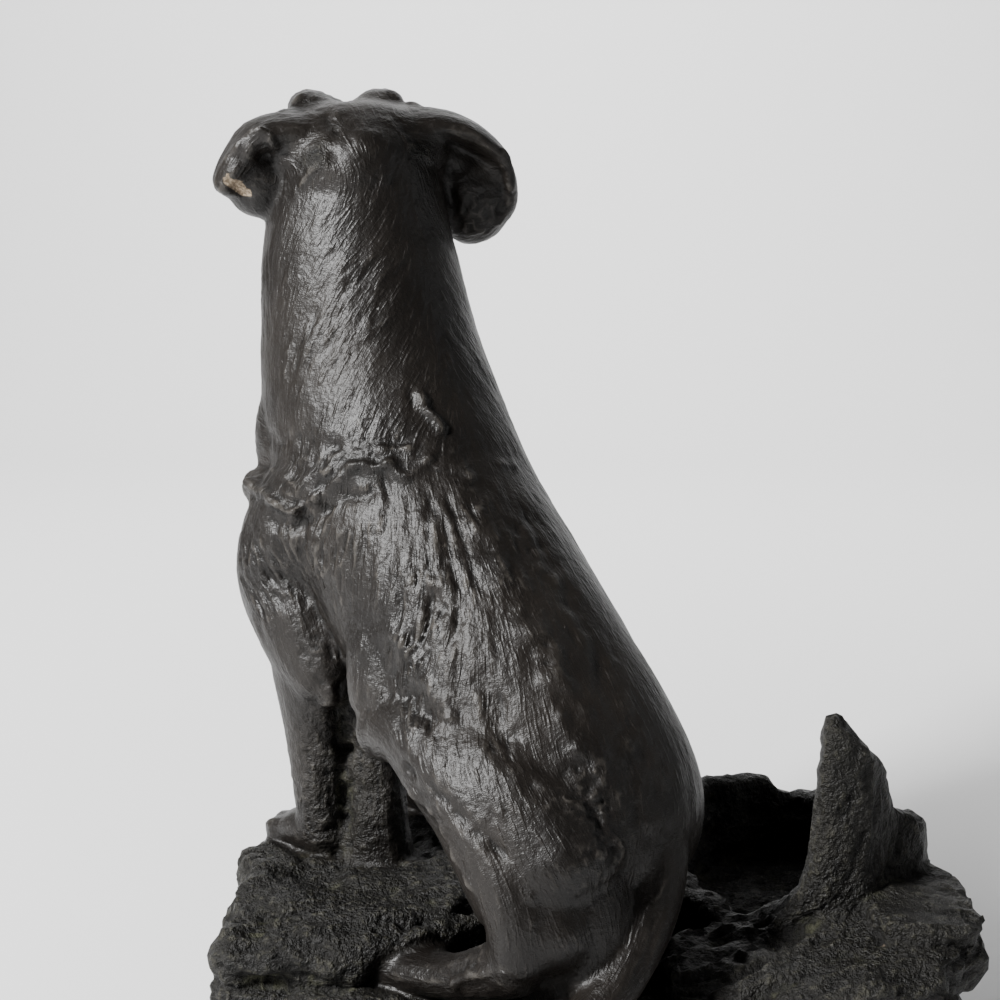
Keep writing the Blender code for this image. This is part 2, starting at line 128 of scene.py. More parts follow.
# %% [markdown]
# ## Drawing tools
#
# A limb is a tube whose rings are ellipses square to a smooth path. It also remembers its path, because
# later every point of the skin asks the nearest limb which way the coat lies there.


# %% Frames, curves and skins
class Frame:
    """An origin with forward, left and up axes, in which a group of shapes is drawn."""

    def __init__(self, origin, forward, left, up):
        self.origin = np.array(origin, float)
        self.axes = np.array([forward, left, up], float)

    def place(self, points):
        return self.origin + np.asarray(points, float) @ self.axes * UNIT

    def turn(self, directions):
        return np.asarray(directions, float) @ self.axes


def heading_axes(yaw):
    """Level forward and left directions of an animal that is turned by yaw from -Y towards +X."""
    forward = (math.sin(yaw), -math.cos(yaw), 0)
    left = (math.cos(yaw), math.sin(yaw), 0)
    return forward, left


def curve_through(stations, rows):
    """Catmull-Rom curve through the stations, each a point with its radii, sampled at rows places."""
    s = np.asarray(stations, float)
    s = np.concatenate([2 * s[:1] - s[1:2], s, 2 * s[-1:] - s[-2:-1]])
    t = np.linspace(0, len(stations) - 1, rows)
    i = np.minimum(t.astype(int), len(stations) - 2)
    t = (t - i)[:, None]
    a, b, c, d = s[i], s[i + 1], s[i + 2], s[i + 3]
    square = (2 * a - 5 * b + 4 * c - d) * t**2
    cube = (3 * b - a - 3 * c + d) * t**3
    return 0.5 * (2 * b + (c - a) * t + square + cube)


def unit_rows(v):
    """Each row divided by its length."""
    return v / np.maximum(np.linalg.norm(v, axis=-1, keepdims=True), 1e-12)


def skin(rings):
    """Closes a stack of rings, whose first and last are single points, into vertices and faces.

    Face (row, side) joins point side of ring row to point side + 1, and both to the next ring.
    """
    count, sides = rings.shape[:2]
    points = np.concatenate([rings[0, :1], rings[1:-1].reshape(-1, 3), rings[-1, :1]])
    row, side = np.meshgrid(np.arange(count - 3), np.arange(sides), indexing="ij")
    a = 1 + row * sides + side
    b = 1 + row * sides + (side + 1) % sides
    quads = np.stack([a, b, b + sides, a + sides], -1).reshape(-1, 4)
    side = np.arange(sides)
    after = (side + 1) % sides
    last = len(points) - 1
    first_fan = np.stack([0 * side, 1 + after, 1 + side], -1)
    last_fan = np.stack([0 * side + last, last - sides + side, last - sides + after], -1)
    return points, quads.tolist() + first_fan.tolist() + last_fan.tolist()


# %% Limbs and balls, which remember how they lie
LIES = []


def limb(frame, stations, across=(0, 1, 0), rows=18, sides=20, ends=5):
    """A rounded tube along stations of (forward, left, up, half width, half depth).

    Ring: centre + width cos(turn) sideways + depth sin(turn) frontways, square to the path.
    The two ends are domed by rings that shrink as a quarter circle while they move outwards.
    """
    rows, sides = 2 * rows, 2 * sides
    path = curve_through(stations, rows)
    centre, width, depth = path[:, :3], path[:, 3], path[:, 4]
    tangent = unit_rows(np.gradient(centre, axis=0))
    dome = np.linspace(math.pi / 2, 0, ends, endpoint=False)
    reach = 0.8 * np.minimum(width, depth)
    first = centre[0] - tangent[0] * (reach[0] * np.sin(dome))[:, None]
    last = centre[-1] + tangent[-1] * (reach[-1] * np.sin(dome[::-1]))[:, None]
    shrink = np.cos(dome)
    centre = np.concatenate([first, centre, last])
    tangent = np.pad(tangent, ((ends, ends), (0, 0)), "edge")
    width = np.concatenate([width[0] * shrink, width, width[-1] * shrink[::-1]])
    depth = np.concatenate([depth[0] * shrink, depth, depth[-1] * shrink[::-1]])
    across = np.asarray(across, float)
    side_on = unit_rows(across - tangent * (tangent @ across)[:, None])
    front_on = np.cross(tangent, side_on)
    axes = [frame.turn(way)[ends:-ends] for way in (tangent, side_on, front_on)]
    LIES.append((frame.place(centre)[ends:-ends], *axes, *(path[:, 3:].T * UNIT)))
    turn = np.linspace(0, 2 * math.pi, sides, endpoint=False)
    rings = (
        centre[:, None]
        + side_on[:, None] * (width[:, None] * np.cos(turn))[..., None]
        + front_on[:, None] * (depth[:, None] * np.sin(turn))[..., None]
    )
    points, faces = skin(rings)
    return frame.place(points), faces


def ball(frame, centre, radii, rows=17, sides=28):
    """An ellipsoid of (forward, left, up) radii: rings of latitude from its lowest point upwards."""
    lat = np.linspace(-math.pi / 2, math.pi / 2, rows)[:, None]
    turn = np.linspace(0, 2 * math.pi, sides, endpoint=False)
    level = np.cos(lat)
    unit = np.stack([level * np.cos(turn), level * np.sin(turn), np.sin(lat) + 0 * turn], -1)
    centre, radii = np.array(centre, float), np.array(radii, float)
    points, faces = skin(unit * radii)
    forward, left, up = frame.axes[:, None]
    LIES.append((frame.place(centre)[None], forward, left, up, radii[1:2] * UNIT, radii[2:] * UNIT))
    return frame.place(points + centre), faces


def both_sides(make, frame, stations, **options):
    """The left limb and its mirror image on the right."""
    mirrored = [(f, -l, *rest) for f, l, *rest in stations]
    return [make(frame, stations, **options), make(frame, mirrored, **options)]


def both_balls(frame, centre, radii):
    """The left ball and its mirror image on the right."""
    forward, left, up = centre
    return [ball(frame, centre, radii), ball(frame, (forward, -left, up), radii)]


def body_frame():
    """The dog's frame on the rock: forward, left and up from the middle of its seat."""
    forward, left = heading_axes(HEADING)
    return Frame(np.array((SEAT_X, SEAT_Y, SEAT_HEIGHT)) + MOVED, forward, left, (0, 0, 1))


def head_frame(body):
    """The head's frame: raised by its pitch, tipped by its roll, centred in the skull."""
    forward, left = heading_axes(HEAD_YAW)
    turned = Matrix((forward, left, (0, 0, 1))).transposed()
    tipped = turned @ Matrix.Rotation(-HEAD_PITCH, 3, "Y") @ Matrix.Rotation(HEAD_ROLL, 3, "X")
    return Frame(body.place(SKULL_CENTRE), *np.array(tipped.transposed()))


BODY = body_frame()
SKULL = head_frame(BODY)
print("skull centre, mm:", np.round(1000 * SKULL.origin, 1))

# %% [markdown]
# ## The dog
#
# One long tube makes trunk and neck. Legs, tail, coat fold and head are joined to it. The lists read as
# (forward, left, up, half width, half depth).


# %% Trunk
def torso(body):
    """Trunk and neck: one tube that leans forward from the rump and rises to the skull."""
    trunk = [
        (1, 3, 12, 17, 15), (-2, 1, 26, 21, 20), (3, 0, 41, 26.5, 27), (15, 0, 55, 29, 29),
        (33, 0, 73, 29, 29.5), (50, 0, 89, 29.5, 30), (61.5, 0, 105, 28.5, 30.5),
        (69.5, 0, 122, 26.8, 29.5), (73.5, 0, 139, 24.3, 26.8), (76, 0, 155, 22.4, 24.5),
        (76, 0, 169, 19.5, 21),
    ]
    chest = [(66, 0, 105, 22, 18), (76, 0, 85, 18, 15), (72, 0, 67, 15, 13)]
    belly = [(62, 0, 70, 20, 16), (40, 0, 57, 19, 14), (20, 0, 42, 20, 15)]
    return [limb(body, trunk, rows=38, sides=28), limb(body, chest), limb(body, belly)]


# %% Forelegs and toes
def forelegs(body):
    """Shoulder, upper arm, forearm and paw; the paw stands on the ledge."""
    ground = (LEDGE_HEIGHT - SEAT_HEIGHT) / UNIT
    shoulder = [
        (54, 15, 112, 9, 12), (66, 21, 96, 11.5, 15), (75, 23, 82, 11, 14),
        (67, 23.5, 68, 10, 13), (59, 23.5, 59, 8, 9),
    ]
    pieces = both_sides(limb, body, shoulder)
    pieces += both_balls(body, (54.5, 24, 57), (4.5, 4.5, 5.5))
    for side, lean_forward, lean_in in ((1, 0, 0), (-1, 5, 3)):
        arm = [
            (67, side * 22.5, 72, 10, 12), (66, side * 22, 56, 8.5, 11),
            (66 + 0.4 * lean_forward, side * (21 - 0.4 * lean_in), 42, 7.2, 9),
            (65 + 0.75 * lean_forward, side * (20.5 - 0.75 * lean_in), 30, 6.8, 7.8),
            (65 + lean_forward, side * (20 - lean_in), ground + 10, 6.8, 7.2),
            (66 + lean_forward, side * (20 - lean_in), ground + 5, 7, 6),
        ]
        stand = (65 + lean_forward, side * (20 - lean_in))
        paw = [
            (stand[0] - 3, stand[1], ground + 5, 6.6, 5),
            (stand[0] + 5, stand[1], ground + 5, 7.8, 5.2),
            (stand[0] + 11, stand[1], ground + 3.5, 7.6, 4.2),
        ]
        pieces += [limb(body, arm), limb(body, paw, rows=8)]
        pieces += toes(body, (stand[0] + 14, stand[1], ground + 3))
    web = [
        (60, 12, 62, 8, 10), (58, 12, 48, 8, 10), (57.5, 12, 34, 7.5, 10),
        (56.5, 12.5, 22, 7.5, 10.5), (56, 12, 12, 9, 11),
    ]
    return pieces + [limb(body, web, rows=12, sides=16)]


def toes(body, front):
    """Four toes side by side across the front of a paw."""
    forward, left, up = front
    pieces = []
    for step in (-1.5, -0.5, 0.5, 1.5):
        back = 1.6 * (abs(step) - 0.5)
        pieces.append(ball(body, (forward - back, left + TOE_SPACING * step, up), (5.2, 2.3, 3.4)))
    return pieces


# %% Hind legs, tail and the fold of coat
def hind_legs(body):
    """Rump, haunch, knee with the skin that hangs over it, shank, hock and the foot on the rock.

    The right leg is tucked in closer to the body, so it doesn't show past the rump from behind.
    """
    haunch = [
        (-11, 17, 30, 14.5, 19), (0, 19, 43, 14.5, 17), (11, 21, 50, 13.5, 13),
        (21, 22.5, 54, 12, 10), (30, 24, 54, 9, 8.5),
    ]
    shank = [
        (31, 25, 53, 8.5, 7.5), (21, 26, 54, 8.2, 7.5), (9, 27, 51, 8, 7.5), (-1, 27, 44, 8, 7.5),
        (-9, 27, 35, 7.8, 7.5), (-15, 27, 25, 7.2, 7.5), (-16, 27.5, 17, 6.5, 7),
    ]
    calf = [(17, 22.5, 54, 10, 7), (4, 23, 48, 10, 9), (-8, 22.5, 36, 10, 11), (-17, 20.5, 20, 10, 11)]
    foot = [
        (-15, 28, 15, 6, 6.5), (-5, 29, 9.5, 5.6, 5.6), (4, 30, 6, 6, 4.6),
        (13, 30.5, 4.5, 7, 4.4), (19, 30.5, 3.6, 7, 4),
    ]
    buttock = [(-15, 11, 8, 13, 13), (-12, 13, 24, 14, 16), (-3, 14, 38, 13, 17)]
    right_buttock = [(3, -6, 12, 11, 11), (-2, -8, 24, 14, 15), (0, -10, 38, 13, 17)]
    rump = [
        (-7, 0, 27, 19, 16), (-9, -2.5, 38, 23.5, 18.5), (0, -2, 52, 24, 19.5),
        (14, -1.5, 66, 23, 20), (26, -1, 78, 20, 18),
    ]
    flank = [(33, 24, 60, 8.8, 9), (36, 22.5, 70, 8.5, 9), (39, 20, 80, 8.5, 9)]
    pieces = [limb(body, bones) for bones in (calf, buttock, right_buttock)]
    pieces += [limb(body, rump, sides=28)] + both_sides(limb, body, flank, rows=10)
    for side, tuck, ahead in ((1, 0, 0), (-1, 7, 11)):
        for bones in (haunch, shank, foot):
            placed = [(f + ahead, side * (l - tuck), u, w, d) for f, l, u, w, d in bones]
            pieces.append(limb(body, placed))
        pieces += toes(body, (22 + ahead, side * (30.5 - tuck), 3.4))
    return pieces


def tail(body):
    """Thick tail that leaves the rump low down and curls round the left haunch to the foot."""
    route = [
        (-12, -6, 44, 9, 9), (-19, -5, 34, 8.4, 8.4), (-24, -1, 25, 7, 7), (-27, 6, 17, 5.6, 6),
        (-29, 15, 10, 5, 5.2), (-29, 25, 5.5, 4.4, 4.6), (-24, 35, 3.8, 4, 4),
        (-13, 42, 3.4, 3.4, 3.4), (-3, 44.5, 3, 2.2, 2.2),
    ]
    return [limb(body, route, across=(0, 0, 1), rows=26, sides=14)]


def coat_fold(body):
    """The fold of coat that hangs round the neck where it joins the shoulders."""
    low = [
        (46, 8, 122, 2, 2), (47, 20, 113, 3, 3), (56, 26.5, 104, 3.6, 3.2), (68, 28, 99, 4, 3.6),
        (84, 25, 100, 4, 4.4),
    ]
    pieces = both_sides(limb, body, low, rows=20, sides=10)
    return pieces + both_balls(body, (80, 11, 111), (14, 14.5, 21))


# %% Head
def head(skull):
    """Skull, brows, muzzle, jaw, nose, eyes and cheeks."""
    muzzle = [
        (8, 0, -3, 15, 13), (17, 0, -4.5, 12.2, 11.4), (25, 0, -6.5, 10.6, 10.2),
        (32, 0, -7.5, 9.8, 9.4), (36, 0, -8, 8.6, 8.2),
    ]
    jaw = [(2, 0, -12, 13, 8), (14, 0, -15.5, 10, 6), (24, 0, -17, 8, 4.8), (31, 0, -17, 6.2, 3.6)]
    pieces = [
        ball(skull, (-1, 0, 0), (21, 18.5, 15.5)),
        ball(skull, (-13, 0, 4), (8, 9, 8)),
        ball(skull, (5, 0, 5), (15, 15, 11)),
        ball(skull, (-1, -1, 4.5), (15, 22, 11.7)),
        limb(skull, muzzle),
        limb(skull, jaw, rows=10),
        ball(skull, (39.5, 0, -3.5), (4, 5.4, 4.2)),
    ]
    pieces += both_balls(skull, (12.5, 8.6, 13.2), (8, 6.6, 5.2))
    pieces += both_balls(skull, (4, 12.5, -8), (11, 7, 10))
    pieces += both_balls(skull, (17.5, 9.6, 3.8), (3.6, 3.4, 3.4))
    pieces += both_balls(skull, (30, 5.4, -12.5), (9, 4.8, 6.5))
    return pieces + right_ear(skull) + left_ear(skull)


# %% Ears
def right_ear(skull):
    """Whole ear: a thick leaf that stands out from the skull, folds over and hangs."""
    fold = [
        (0, -9, 9, 10, 4.5), (-1, -19, 10.5, 10, 3.6), (-1, -28, 7.5, 10, 3.2),
        (0, -34.5, 1, 9.5, 3), (2, -37, -8, 8.5, 3), (4, -34, -15, 6, 2.8),
    ]
    root = [(2, -14, 3, 9, 8), (2, -22, 0, 8, 9), (3, -27, -7, 7, 8)]
    return [
        limb(skull, fold, across=(1, 0, 0), rows=18),
        limb(skull, root, across=(1, 0, 0), rows=8),
        ball(skull, (0.5, -28.8, -6.2), (8.2, 10.3, 13.2)),
    ]


def left_ear(skull):
    """Broken ear: the same leaf held further out, with its tip gone and its underside filled."""
    fold = [
        (0, 9, 9, 10, 4.5), (-1, 17, 10, 10, 3.8), (-1, 24, 8.3, 9.5, 3.4),
        (0, 28.6, 2, 8.5, 3.4), (0.5, 30.6, -2.6, 7, 3.4),
    ]
    root = [(2, 12, 3, 9, 8), (2, 18, -1, 8, 9), (3, 22, -6, 6, 7)]
    return [
        limb(skull, fold, across=(1, 0, 0), rows=18),
        limb(skull, root, across=(1, 0, 0), rows=8),
        ball(skull, (1, 22.5, -2), (8, 8.5, 9)),
    ]


# %% [markdown]
# ## The rocks
#
# A block of rock is a squarish outline carried up in tiers. Each tier is pushed in or out like a bed of
# layered stone. The stump is one closed skin: up the bark, over the rim, down the inside.


# %% Rock
def ripple(x, y, z, scale):
    """Smooth bumps between -1 and 1: three crossed waves of about that length."""
    k = 2 * math.pi / scale
    a = np.sin(k * (x + 0.6 * y) + 1.3) * np.cos(k * (0.8 * z - 0.4 * x))
    b = np.sin(k * 1.37 * (y - 0.5 * z) + 0.4) * np.cos(k * 0.9 * (x + z) + 2.1)
    c = np.sin(k * 0.71 * (z + 0.7 * x - 0.3 * y) + 4.2)
    return (a + b + c) / 3


def rock(centre, half, top, foot, squareness=3.4, slope=(0, 0), rough=0.0024, sides=64, seed=0):
    """A worn block: a squarish outline carried from the foot up to the top, then closed inwards.

    The outline is a superellipse of the given squareness with broad bumps. Each tier is pushed in
    or out like a bed of layered stone, and bumps roughen all of it. slope tips the top along X and Y.
    """
    turn = np.linspace(0, 2 * math.pi, sides, endpoint=False)
    across, along = np.cos(turn), np.sin(turn)
    power = np.abs(across) ** squareness + np.abs(along) ** squareness
    outline = power ** (-1 / squareness)
    outline = outline * (1 + 0.035 * np.cos(3 * turn + seed) + 0.025 * np.cos(7 * turn + 2.3 * seed))
    tiers = np.linspace(0, 1, 14)
    inward = np.cos(np.linspace(0.32, math.pi / 2, 9))
    height = np.concatenate([[0], tiers, np.ones(len(inward))])
    reach = np.concatenate([[0], 1 - TAPER * tiers**2, (1 - TAPER) * inward])
    x = centre[0] + half[0] * np.outer(reach, outline * across)
    y = centre[1] + half[1] * np.outer(reach, outline * along)
    tip = slope[0] * (x - centre[0]) + slope[1] * (y - centre[1])
    z = foot + (top - foot + tip) * height[:, None]
    layer = z + 0.05 * x + 0.0025 * ripple(x, y, 0 * z + seed, 0.06)
    bed = BED_STEP * np.tanh(4 * np.sin(layer * 2 * math.pi / BED_HEIGHT + seed))
    bumps = rough * ripple(x, y, z, 0.034) + 0.5 * rough * ripple(y, z, x, 0.014)
    push = (bed + bumps) * (reach > 0)[:, None]
    away = unit_rows(np.stack([x - centre[0], y - centre[1]], -1) + 1e-9)
    x = x + push * away[..., 0]
    y = y + push * away[..., 1]
    z = z + (height == 1)[:, None] * rough * ripple(x, y, 0 * z, 0.026)
    rings = np.stack([x, y, z], -1)
    rings[0], rings[-1] = rings[0].mean(0), rings[-1].mean(0)
    return skin(rings)


def base_rocks():
    """The slab, the ledges under the forepaws and the belly, and the ledge under the stump."""
    side = BASE_LENGTH / 2
    back = BASE_DEPTH / 2
    top = LEDGE_HEIGHT
    ledge = STUMP_LEDGE_HEIGHT
    return [
        rock((0, 0), (side - 0.002, back), SEAT_HEIGHT, BELOW, 3, rough=0.002, sides=96, seed=1.7),
        rock((side - 0.029, -0.006), (0.029, 0.034), top, BELOW, 2.8, slope=(0.02, 0.06), seed=0.4),
        rock((0.036, -0.034), (0.025, 0.023), top, BELOW, 3, seed=4.2),
        rock((side - 0.026, 0.013), (0.027, 0.021), top, BELOW, 5, slope=(0.02, -0.05), seed=2.9),
        rock((0.030, -0.010), (0.026, 0.034), top - 0.002, BELOW, 2.6, seed=3.3),
        rock((0.036 - side, 0.035), (0.031, 0.018), ledge, BELOW, slope=(-0.2, -0.2), seed=5.1),
        rock((0.010 - side, 0.024), (0.0115, 0.017), ledge + 0.008, 0.033, rough=0.001, seed=6.3),
    ]


# %% Stump
def rim_height(turn):
    """Height of the stump's broken rim at each angle round it, counted from +X towards +Y.

    Low towards the dog, then one tall splinter that stands up like a blade and falls away to the
    right, a knob behind it, and a lower uneven edge along the far side.
    """
    low = STUMP_LEDGE_HEIGHT + 0.001
    rise = {
        0: 0.05, 30: 0.02, 60: 0.00, 69: 0.02, 75: 0.07, 81: 0.15, 86: 0.24, 89: 0.36, 90.5: 0.66,
        92: 0.98, 96: 1.00, 102: 0.95, 108: 0.87, 115: 0.79, 121: 0.73, 125: 0.62, 128: 0.50,
        136: 0.46, 148: 0.42, 156: 0.33, 162: 0.20, 175: 0.10, 205: 0.14, 239: 0.16, 257: 0.11,
        264: 0.14, 269: 0.21, 285: 0.23, 304: 0.23, 318: 0.20, 335: 0.10, 360: 0.05,
    }
    share = np.interp(np.degrees(turn) % 360, list(rise), list(rise.values()))
    return low + (SPLINTER_HEIGHT - low) * share


def stump():
    """Hollow broken trunk: up the bark, over the ragged rim, down inside and across the floor."""
    turn = np.linspace(0, 2 * math.pi, 160, endpoint=False)
    rim = rim_height(turn)
    flute = 1 + 0.03 * np.cos(7 * turn + 0.6) + 0.02 * np.cos(13 * turn)
    wide, deep = STUMP_WIDTH / 2 * flute, STUMP_DEPTH / 2 * flute
    outside = np.stack([wide * np.cos(turn), deep * np.sin(turn)], -1)
    length = np.linalg.norm(outside, axis=-1, keepdims=True)
    inside = outside * (1 - STUMP_WALL / length)
    centre = np.array([-BASE_LENGTH / 2 + 0.032, -0.010])

    def ring(plan, grow, height):
        return np.concatenate([centre + plan * grow, (height + 0 * turn)[:, None]], -1)

    rings = [ring(outside, 0, BELOW)]
    up = np.linspace(0, 0.98, 12)
    rings += [ring(outside, 1.04 - 0.08 * s, BELOW + (rim - BELOW) * s) for s in up]
    rings += [ring(outside, 0.955 - 0.5 * STUMP_WALL / length, rim)]
    down = np.linspace(0.03, 1, 9)
    rings += [ring(inside, 0.96 - 0.05 * s, rim + (HOLLOW_FLOOR - rim) * s) for s in down]
    rings += [ring(inside, 0.45, HOLLOW_FLOOR), ring(inside, 0, HOLLOW_FLOOR)]
    return skin(np.array(rings))


# %% Draw all the shapes
dog_shapes = torso(BODY) + forelegs(BODY) + hind_legs(BODY) + tail(BODY) + coat_fold(BODY)
dog_shapes += head(SKULL)
rock_shapes = [(points + MOVED, faces) for points, faces in base_rocks() + [stump()]]
print(len(dog_shapes), "shapes of the dog,", len(rock_shapes), "of rock")

# %% [markdown]
# ## One skin
#
# The shapes are merged into one closed skin of small even faces, softened where they meet as wax is with
# a warm finger, and read back as plain arrays of points, normals and edges.


# %% Merge and soften
def put(name, data):
    """A new object with that data, in the scene."""
    obj = bpy.data.objects.new(name, data)
    bpy.context.scene.collection.objects.link(obj)
    return obj


def joined(name, shapes):
    """All the shapes as one object, still overlapping, with their faces turned outwards."""
    points = np.concatenate([p for p, _ in shapes])
    faces = []
    first = 0
    for p, f in shapes:
        faces += [tuple(first + i for i in face) for face in f]
        first += len(p)
    mesh = bpy.data.meshes.new(name)
    mesh.from_pydata(points.tolist(), [], faces)
    work = bmesh.new()
    work.from_mesh(mesh)
    bmesh.ops.recalc_face_normals(work, faces=work.faces)
    work.to_mesh(mesh)
    work.free()
    return put(name, mesh)


def settle(obj):
    """Makes what the modifiers show the mesh itself."""
    bpy.context.view_layer.update()
    mesh = bpy.data.meshes.new_from_object(obj.evaluated_get(bpy.context.evaluated_depsgraph_get()))
    obj.modifiers.clear()
    obj.data = mesh


def read(mesh, what, size, kind=np.float32, of="vertices"):
    """One property of every vertex or edge as an array."""
    items = getattr(mesh, of)
    values = np.empty(len(items) * size, kind)
    items.foreach_get(what, values)
    return values.reshape(-1, size) if size > 1 else values


figure = joined("labrador_figurine_visual", dog_shapes + rock_shapes)
merge = figure.modifiers.new("merge", "REMESH")
merge.mode = "VOXEL"
merge.voxel_size = FINE
soften = figure.modifiers.new("soften", "SMOOTH")
soften.factor = 0.5
soften.iterations = 26
settle(figure)
print(len(figure.data.vertices), "points in the merged skin")

# %% [markdown]
# ## Noise
#
# Lattice noise gives every whole-numbered corner of space a number from a scrambled sum of its indices,
# and blends the eight corners round a point smoothly. Ridged noise folds it, which leaves sharp crests.


# %% Noise on whole arrays
DICE = np.random.default_rng(7).random(4096) * 2 - 1
STRIDES = np.array((73856093, 19349663, 83492791))


def noise(q):
    """Smooth noise from -1 to 1 with one bump to a unit of q."""
    base = np.floor(q).astype(np.int64)
    f = q - base
    f = f * f * (3 - 2 * f)
    keys = base * STRIDES
    after = keys + STRIDES
    total = 0
    for a in (0, 1):
        for b in (0, 1):
            for c in (0, 1):
                weight = (
                    (f[:, 0] if a else 1 - f[:, 0])
                    * (f[:, 1] if b else 1 - f[:, 1])
                    * (f[:, 2] if c else 1 - f[:, 2])
                )
                mixed = (after if a else keys)[:, 0] ^ (after if b else keys)[:, 1]
                mixed = mixed ^ (after if c else keys)[:, 2]
                total = total + weight * DICE[(mixed ^ (mixed >> 12)) & 4095]
    return total


def ridged(q):
    """Noise folded at its middle: crests at 1, hollows towards -1."""
    return 1 - 2 * np.abs(noise(q))


def smoothstep(low, high, x):
    """0 below low, 1 above high, an S between."""
    t = np.clip((x - low) / (high - low), 0, 1)
    return t * t * (3 - 2 * t)


def spot(q, centre, radius):
    """1 at the centre, falling off as a bell of that radius."""
    return np.exp(-(((q - np.asarray(centre, float)) / radius) ** 2).sum(1))


def off_line(q, corners):
    """Distance from each point to a bent line through the corners."""
    corners = np.asarray(corners, float)
    nearest = np.full(len(q), 1e9)
    for a, b in zip(corners[:-1], corners[1:]):
        along = b - a
        t = np.clip((q - a) @ along / (along @ along), 0, 1)
        nearest = np.minimum(nearest, np.linalg.norm(q - a - t[:, None] * along, axis=1))
    return nearest


# %% [markdown]
# ## Which way the coat lies
#
# The nearest limb gives its own direction. A modeller also combs the coat, so `COMBS` bends the lie near
# a few places: down and outwards from the mane, round the shoulder, down the flank. The directions are
# then blurred over the skin, so that no seam is left where two limbs meet.

# %% Places where the lie is combed: (forward, left, up), direction, radius
COMBS = [
    ((66, 32, 83), (-0.84, 0, -0.54), 9),
    ((60, 32, 68), (-0.31, 0, -0.95), 10),
    ((48, 28, 96), (0.45, 0, -0.89), 8),
    ((40, 28, 88), (0.20, 0, -0.98), 12),
    ((24, 19, 95), (-0.10, 0.1, -1.0), 11),
    ((18, 25, 76), (0.50, 0, -0.87), 12),
    ((14, 8, 94), (-0.68, 0.1, -0.74), 14),
    ((4, 26, 62), (0.10, 0, -1.0), 12),
    ((-10, 16, 62), (-0.25, 0, -0.97), 12),
    ((-3, 31, 47), (-0.55, 0, -0.83), 9),
    ((8, 30, 41), (-0.85, 0, -0.5), 9),
]


# %% The skin as arrays, and its lie
def read_skin():
    """Points and normals of the figure in metres."""
    mesh = figure.data
    return read(mesh, "co", 3).astype(float), read(mesh, "normal", 3).astype(float)


def drawn(points, frame):
    """Points in a frame's own units."""
    return (points - frame.origin) @ frame.axes.T / UNIT


def blurred(values, edges, rounds):
    """Each row mixed half and half with the mean of its neighbours, that many times over."""
    count = np.maximum(np.bincount(edges.ravel(), minlength=len(values)), 1)[:, None]
    for _ in range(rounds):
        total = np.empty_like(values)
        for axis in range(values.shape[1]):
            total[:, axis] = np.bincount(edges[:, 0], values[edges[:, 1], axis], len(values))
            total[:, axis] += np.bincount(edges[:, 1], values[edges[:, 0], axis], len(values))
        values = 0.5 * values + 0.5 * total / count
    return values


def nearest_limb(points):
    """The direction of the limb whose surface is nearest, and the gap to it in millimetres."""
    best = np.full(len(points), 1e9)
    way = np.zeros((len(points), 3))
    for centre, tangent, side_on, front_on, width, depth in LIES:
        middle = centre.mean(0)
        span = np.linalg.norm(centre - middle, axis=1).max() + max(width.max(), depth.max()) + 0.006
        chosen = np.nonzero(np.linalg.norm(points - middle, axis=1) < span)[0]
        if not len(chosen):
            continue
        p = points[chosen]
        at = np.stack([((p - c) ** 2).sum(1) for c in centre], 1).argmin(1)
        rel = p - centre[at]
        step = (rel * tangent[at]).sum(1)
        side = (rel * side_on[at]).sum(1)
        front = (rel * front_on[at]).sum(1)
        wide, deep = width[at], depth[at]
        across = (side / wide) ** 2 + (front / deep) ** 2
        if len(centre) == 1:
            gap = (np.sqrt(across + (step / deep) ** 2) - 1) * deep
        else:
            past = np.maximum(np.abs(step) - 0.004, 0)
            gap = (np.sqrt(across) - 1) * np.minimum(wide, deep) + past
        better = gap < best[chosen]
        rows = chosen[better]
        best[rows] = gap[better]
        way[rows] = tangent[at][better]
    return way, MM * best


def lie_of_coat(way, b):
    """The limbs' directions, all pointing down and back, bent by the mane and by the combs."""
    down_and_back = BODY.turn((-0.5, 0, -0.86))
    way = way * np.where(way @ down_and_back < 0, -1, 1)[:, None]
    neck = smoothstep(104, 118, b[:, 2]) * smoothstep(176, 160, b[:, 2])
    outwards = np.tanh((b[:, 1] - 1) / 6)
    way = way + (0.95 * neck * outwards)[:, None] * BODY.turn((0.25, 1, 0))
    sided = np.abs(b * (0, 1, 0)) + b * (1, 0, 1)
    for place, heading, radius in COMBS:
        pull = 3.0 * spot(sided, place, radius)
        heading = np.array(heading) * np.stack([1 + 0 * b[:, 1], np.sign(b[:, 1]), 1 + 0 * b[:, 1]], 1)
        way = way + pull[:, None] * BODY.turn(heading)
    return way


def lie_of_rock(points):
    """Beds run level on the left; under the stump they rise to the right; on its bark they stand up."""
    p = MM * (points - MOVED)
    right = smoothstep(-14, -34, p[:, 0])
    bark = right * smoothstep(44, 58, p[:, 2])
    slant = np.radians(3 + 21 * right + 52 * bark)
    return np.stack([-np.cos(slant), 0.12 * np.sin(p[:, 0] / 17), np.sin(slant)], 1)


def along_skin(way, normals):
    """Directions laid flat on the skin, of length one."""
    return unit_rows(way - normals * (way * normals).sum(1)[:, None])


edges = read(figure.data, "vertices", 2, np.int32, "edges")
points, normals = read_skin()
in_body = drawn(points, BODY)
way, gap = nearest_limb(points)
coat = blurred(smoothstep(2.2, 1.2, gap)[:, None], edges, 6)[:, 0]
lie = lie_of_coat(way, in_body) * coat[:, None] + lie_of_rock(points) * (1 - coat[:, None])
lie = along_skin(blurred(along_skin(lie, normals), edges, 45), normals)
print("share of the skin that is coat:", round(float(coat.mean()), 3))

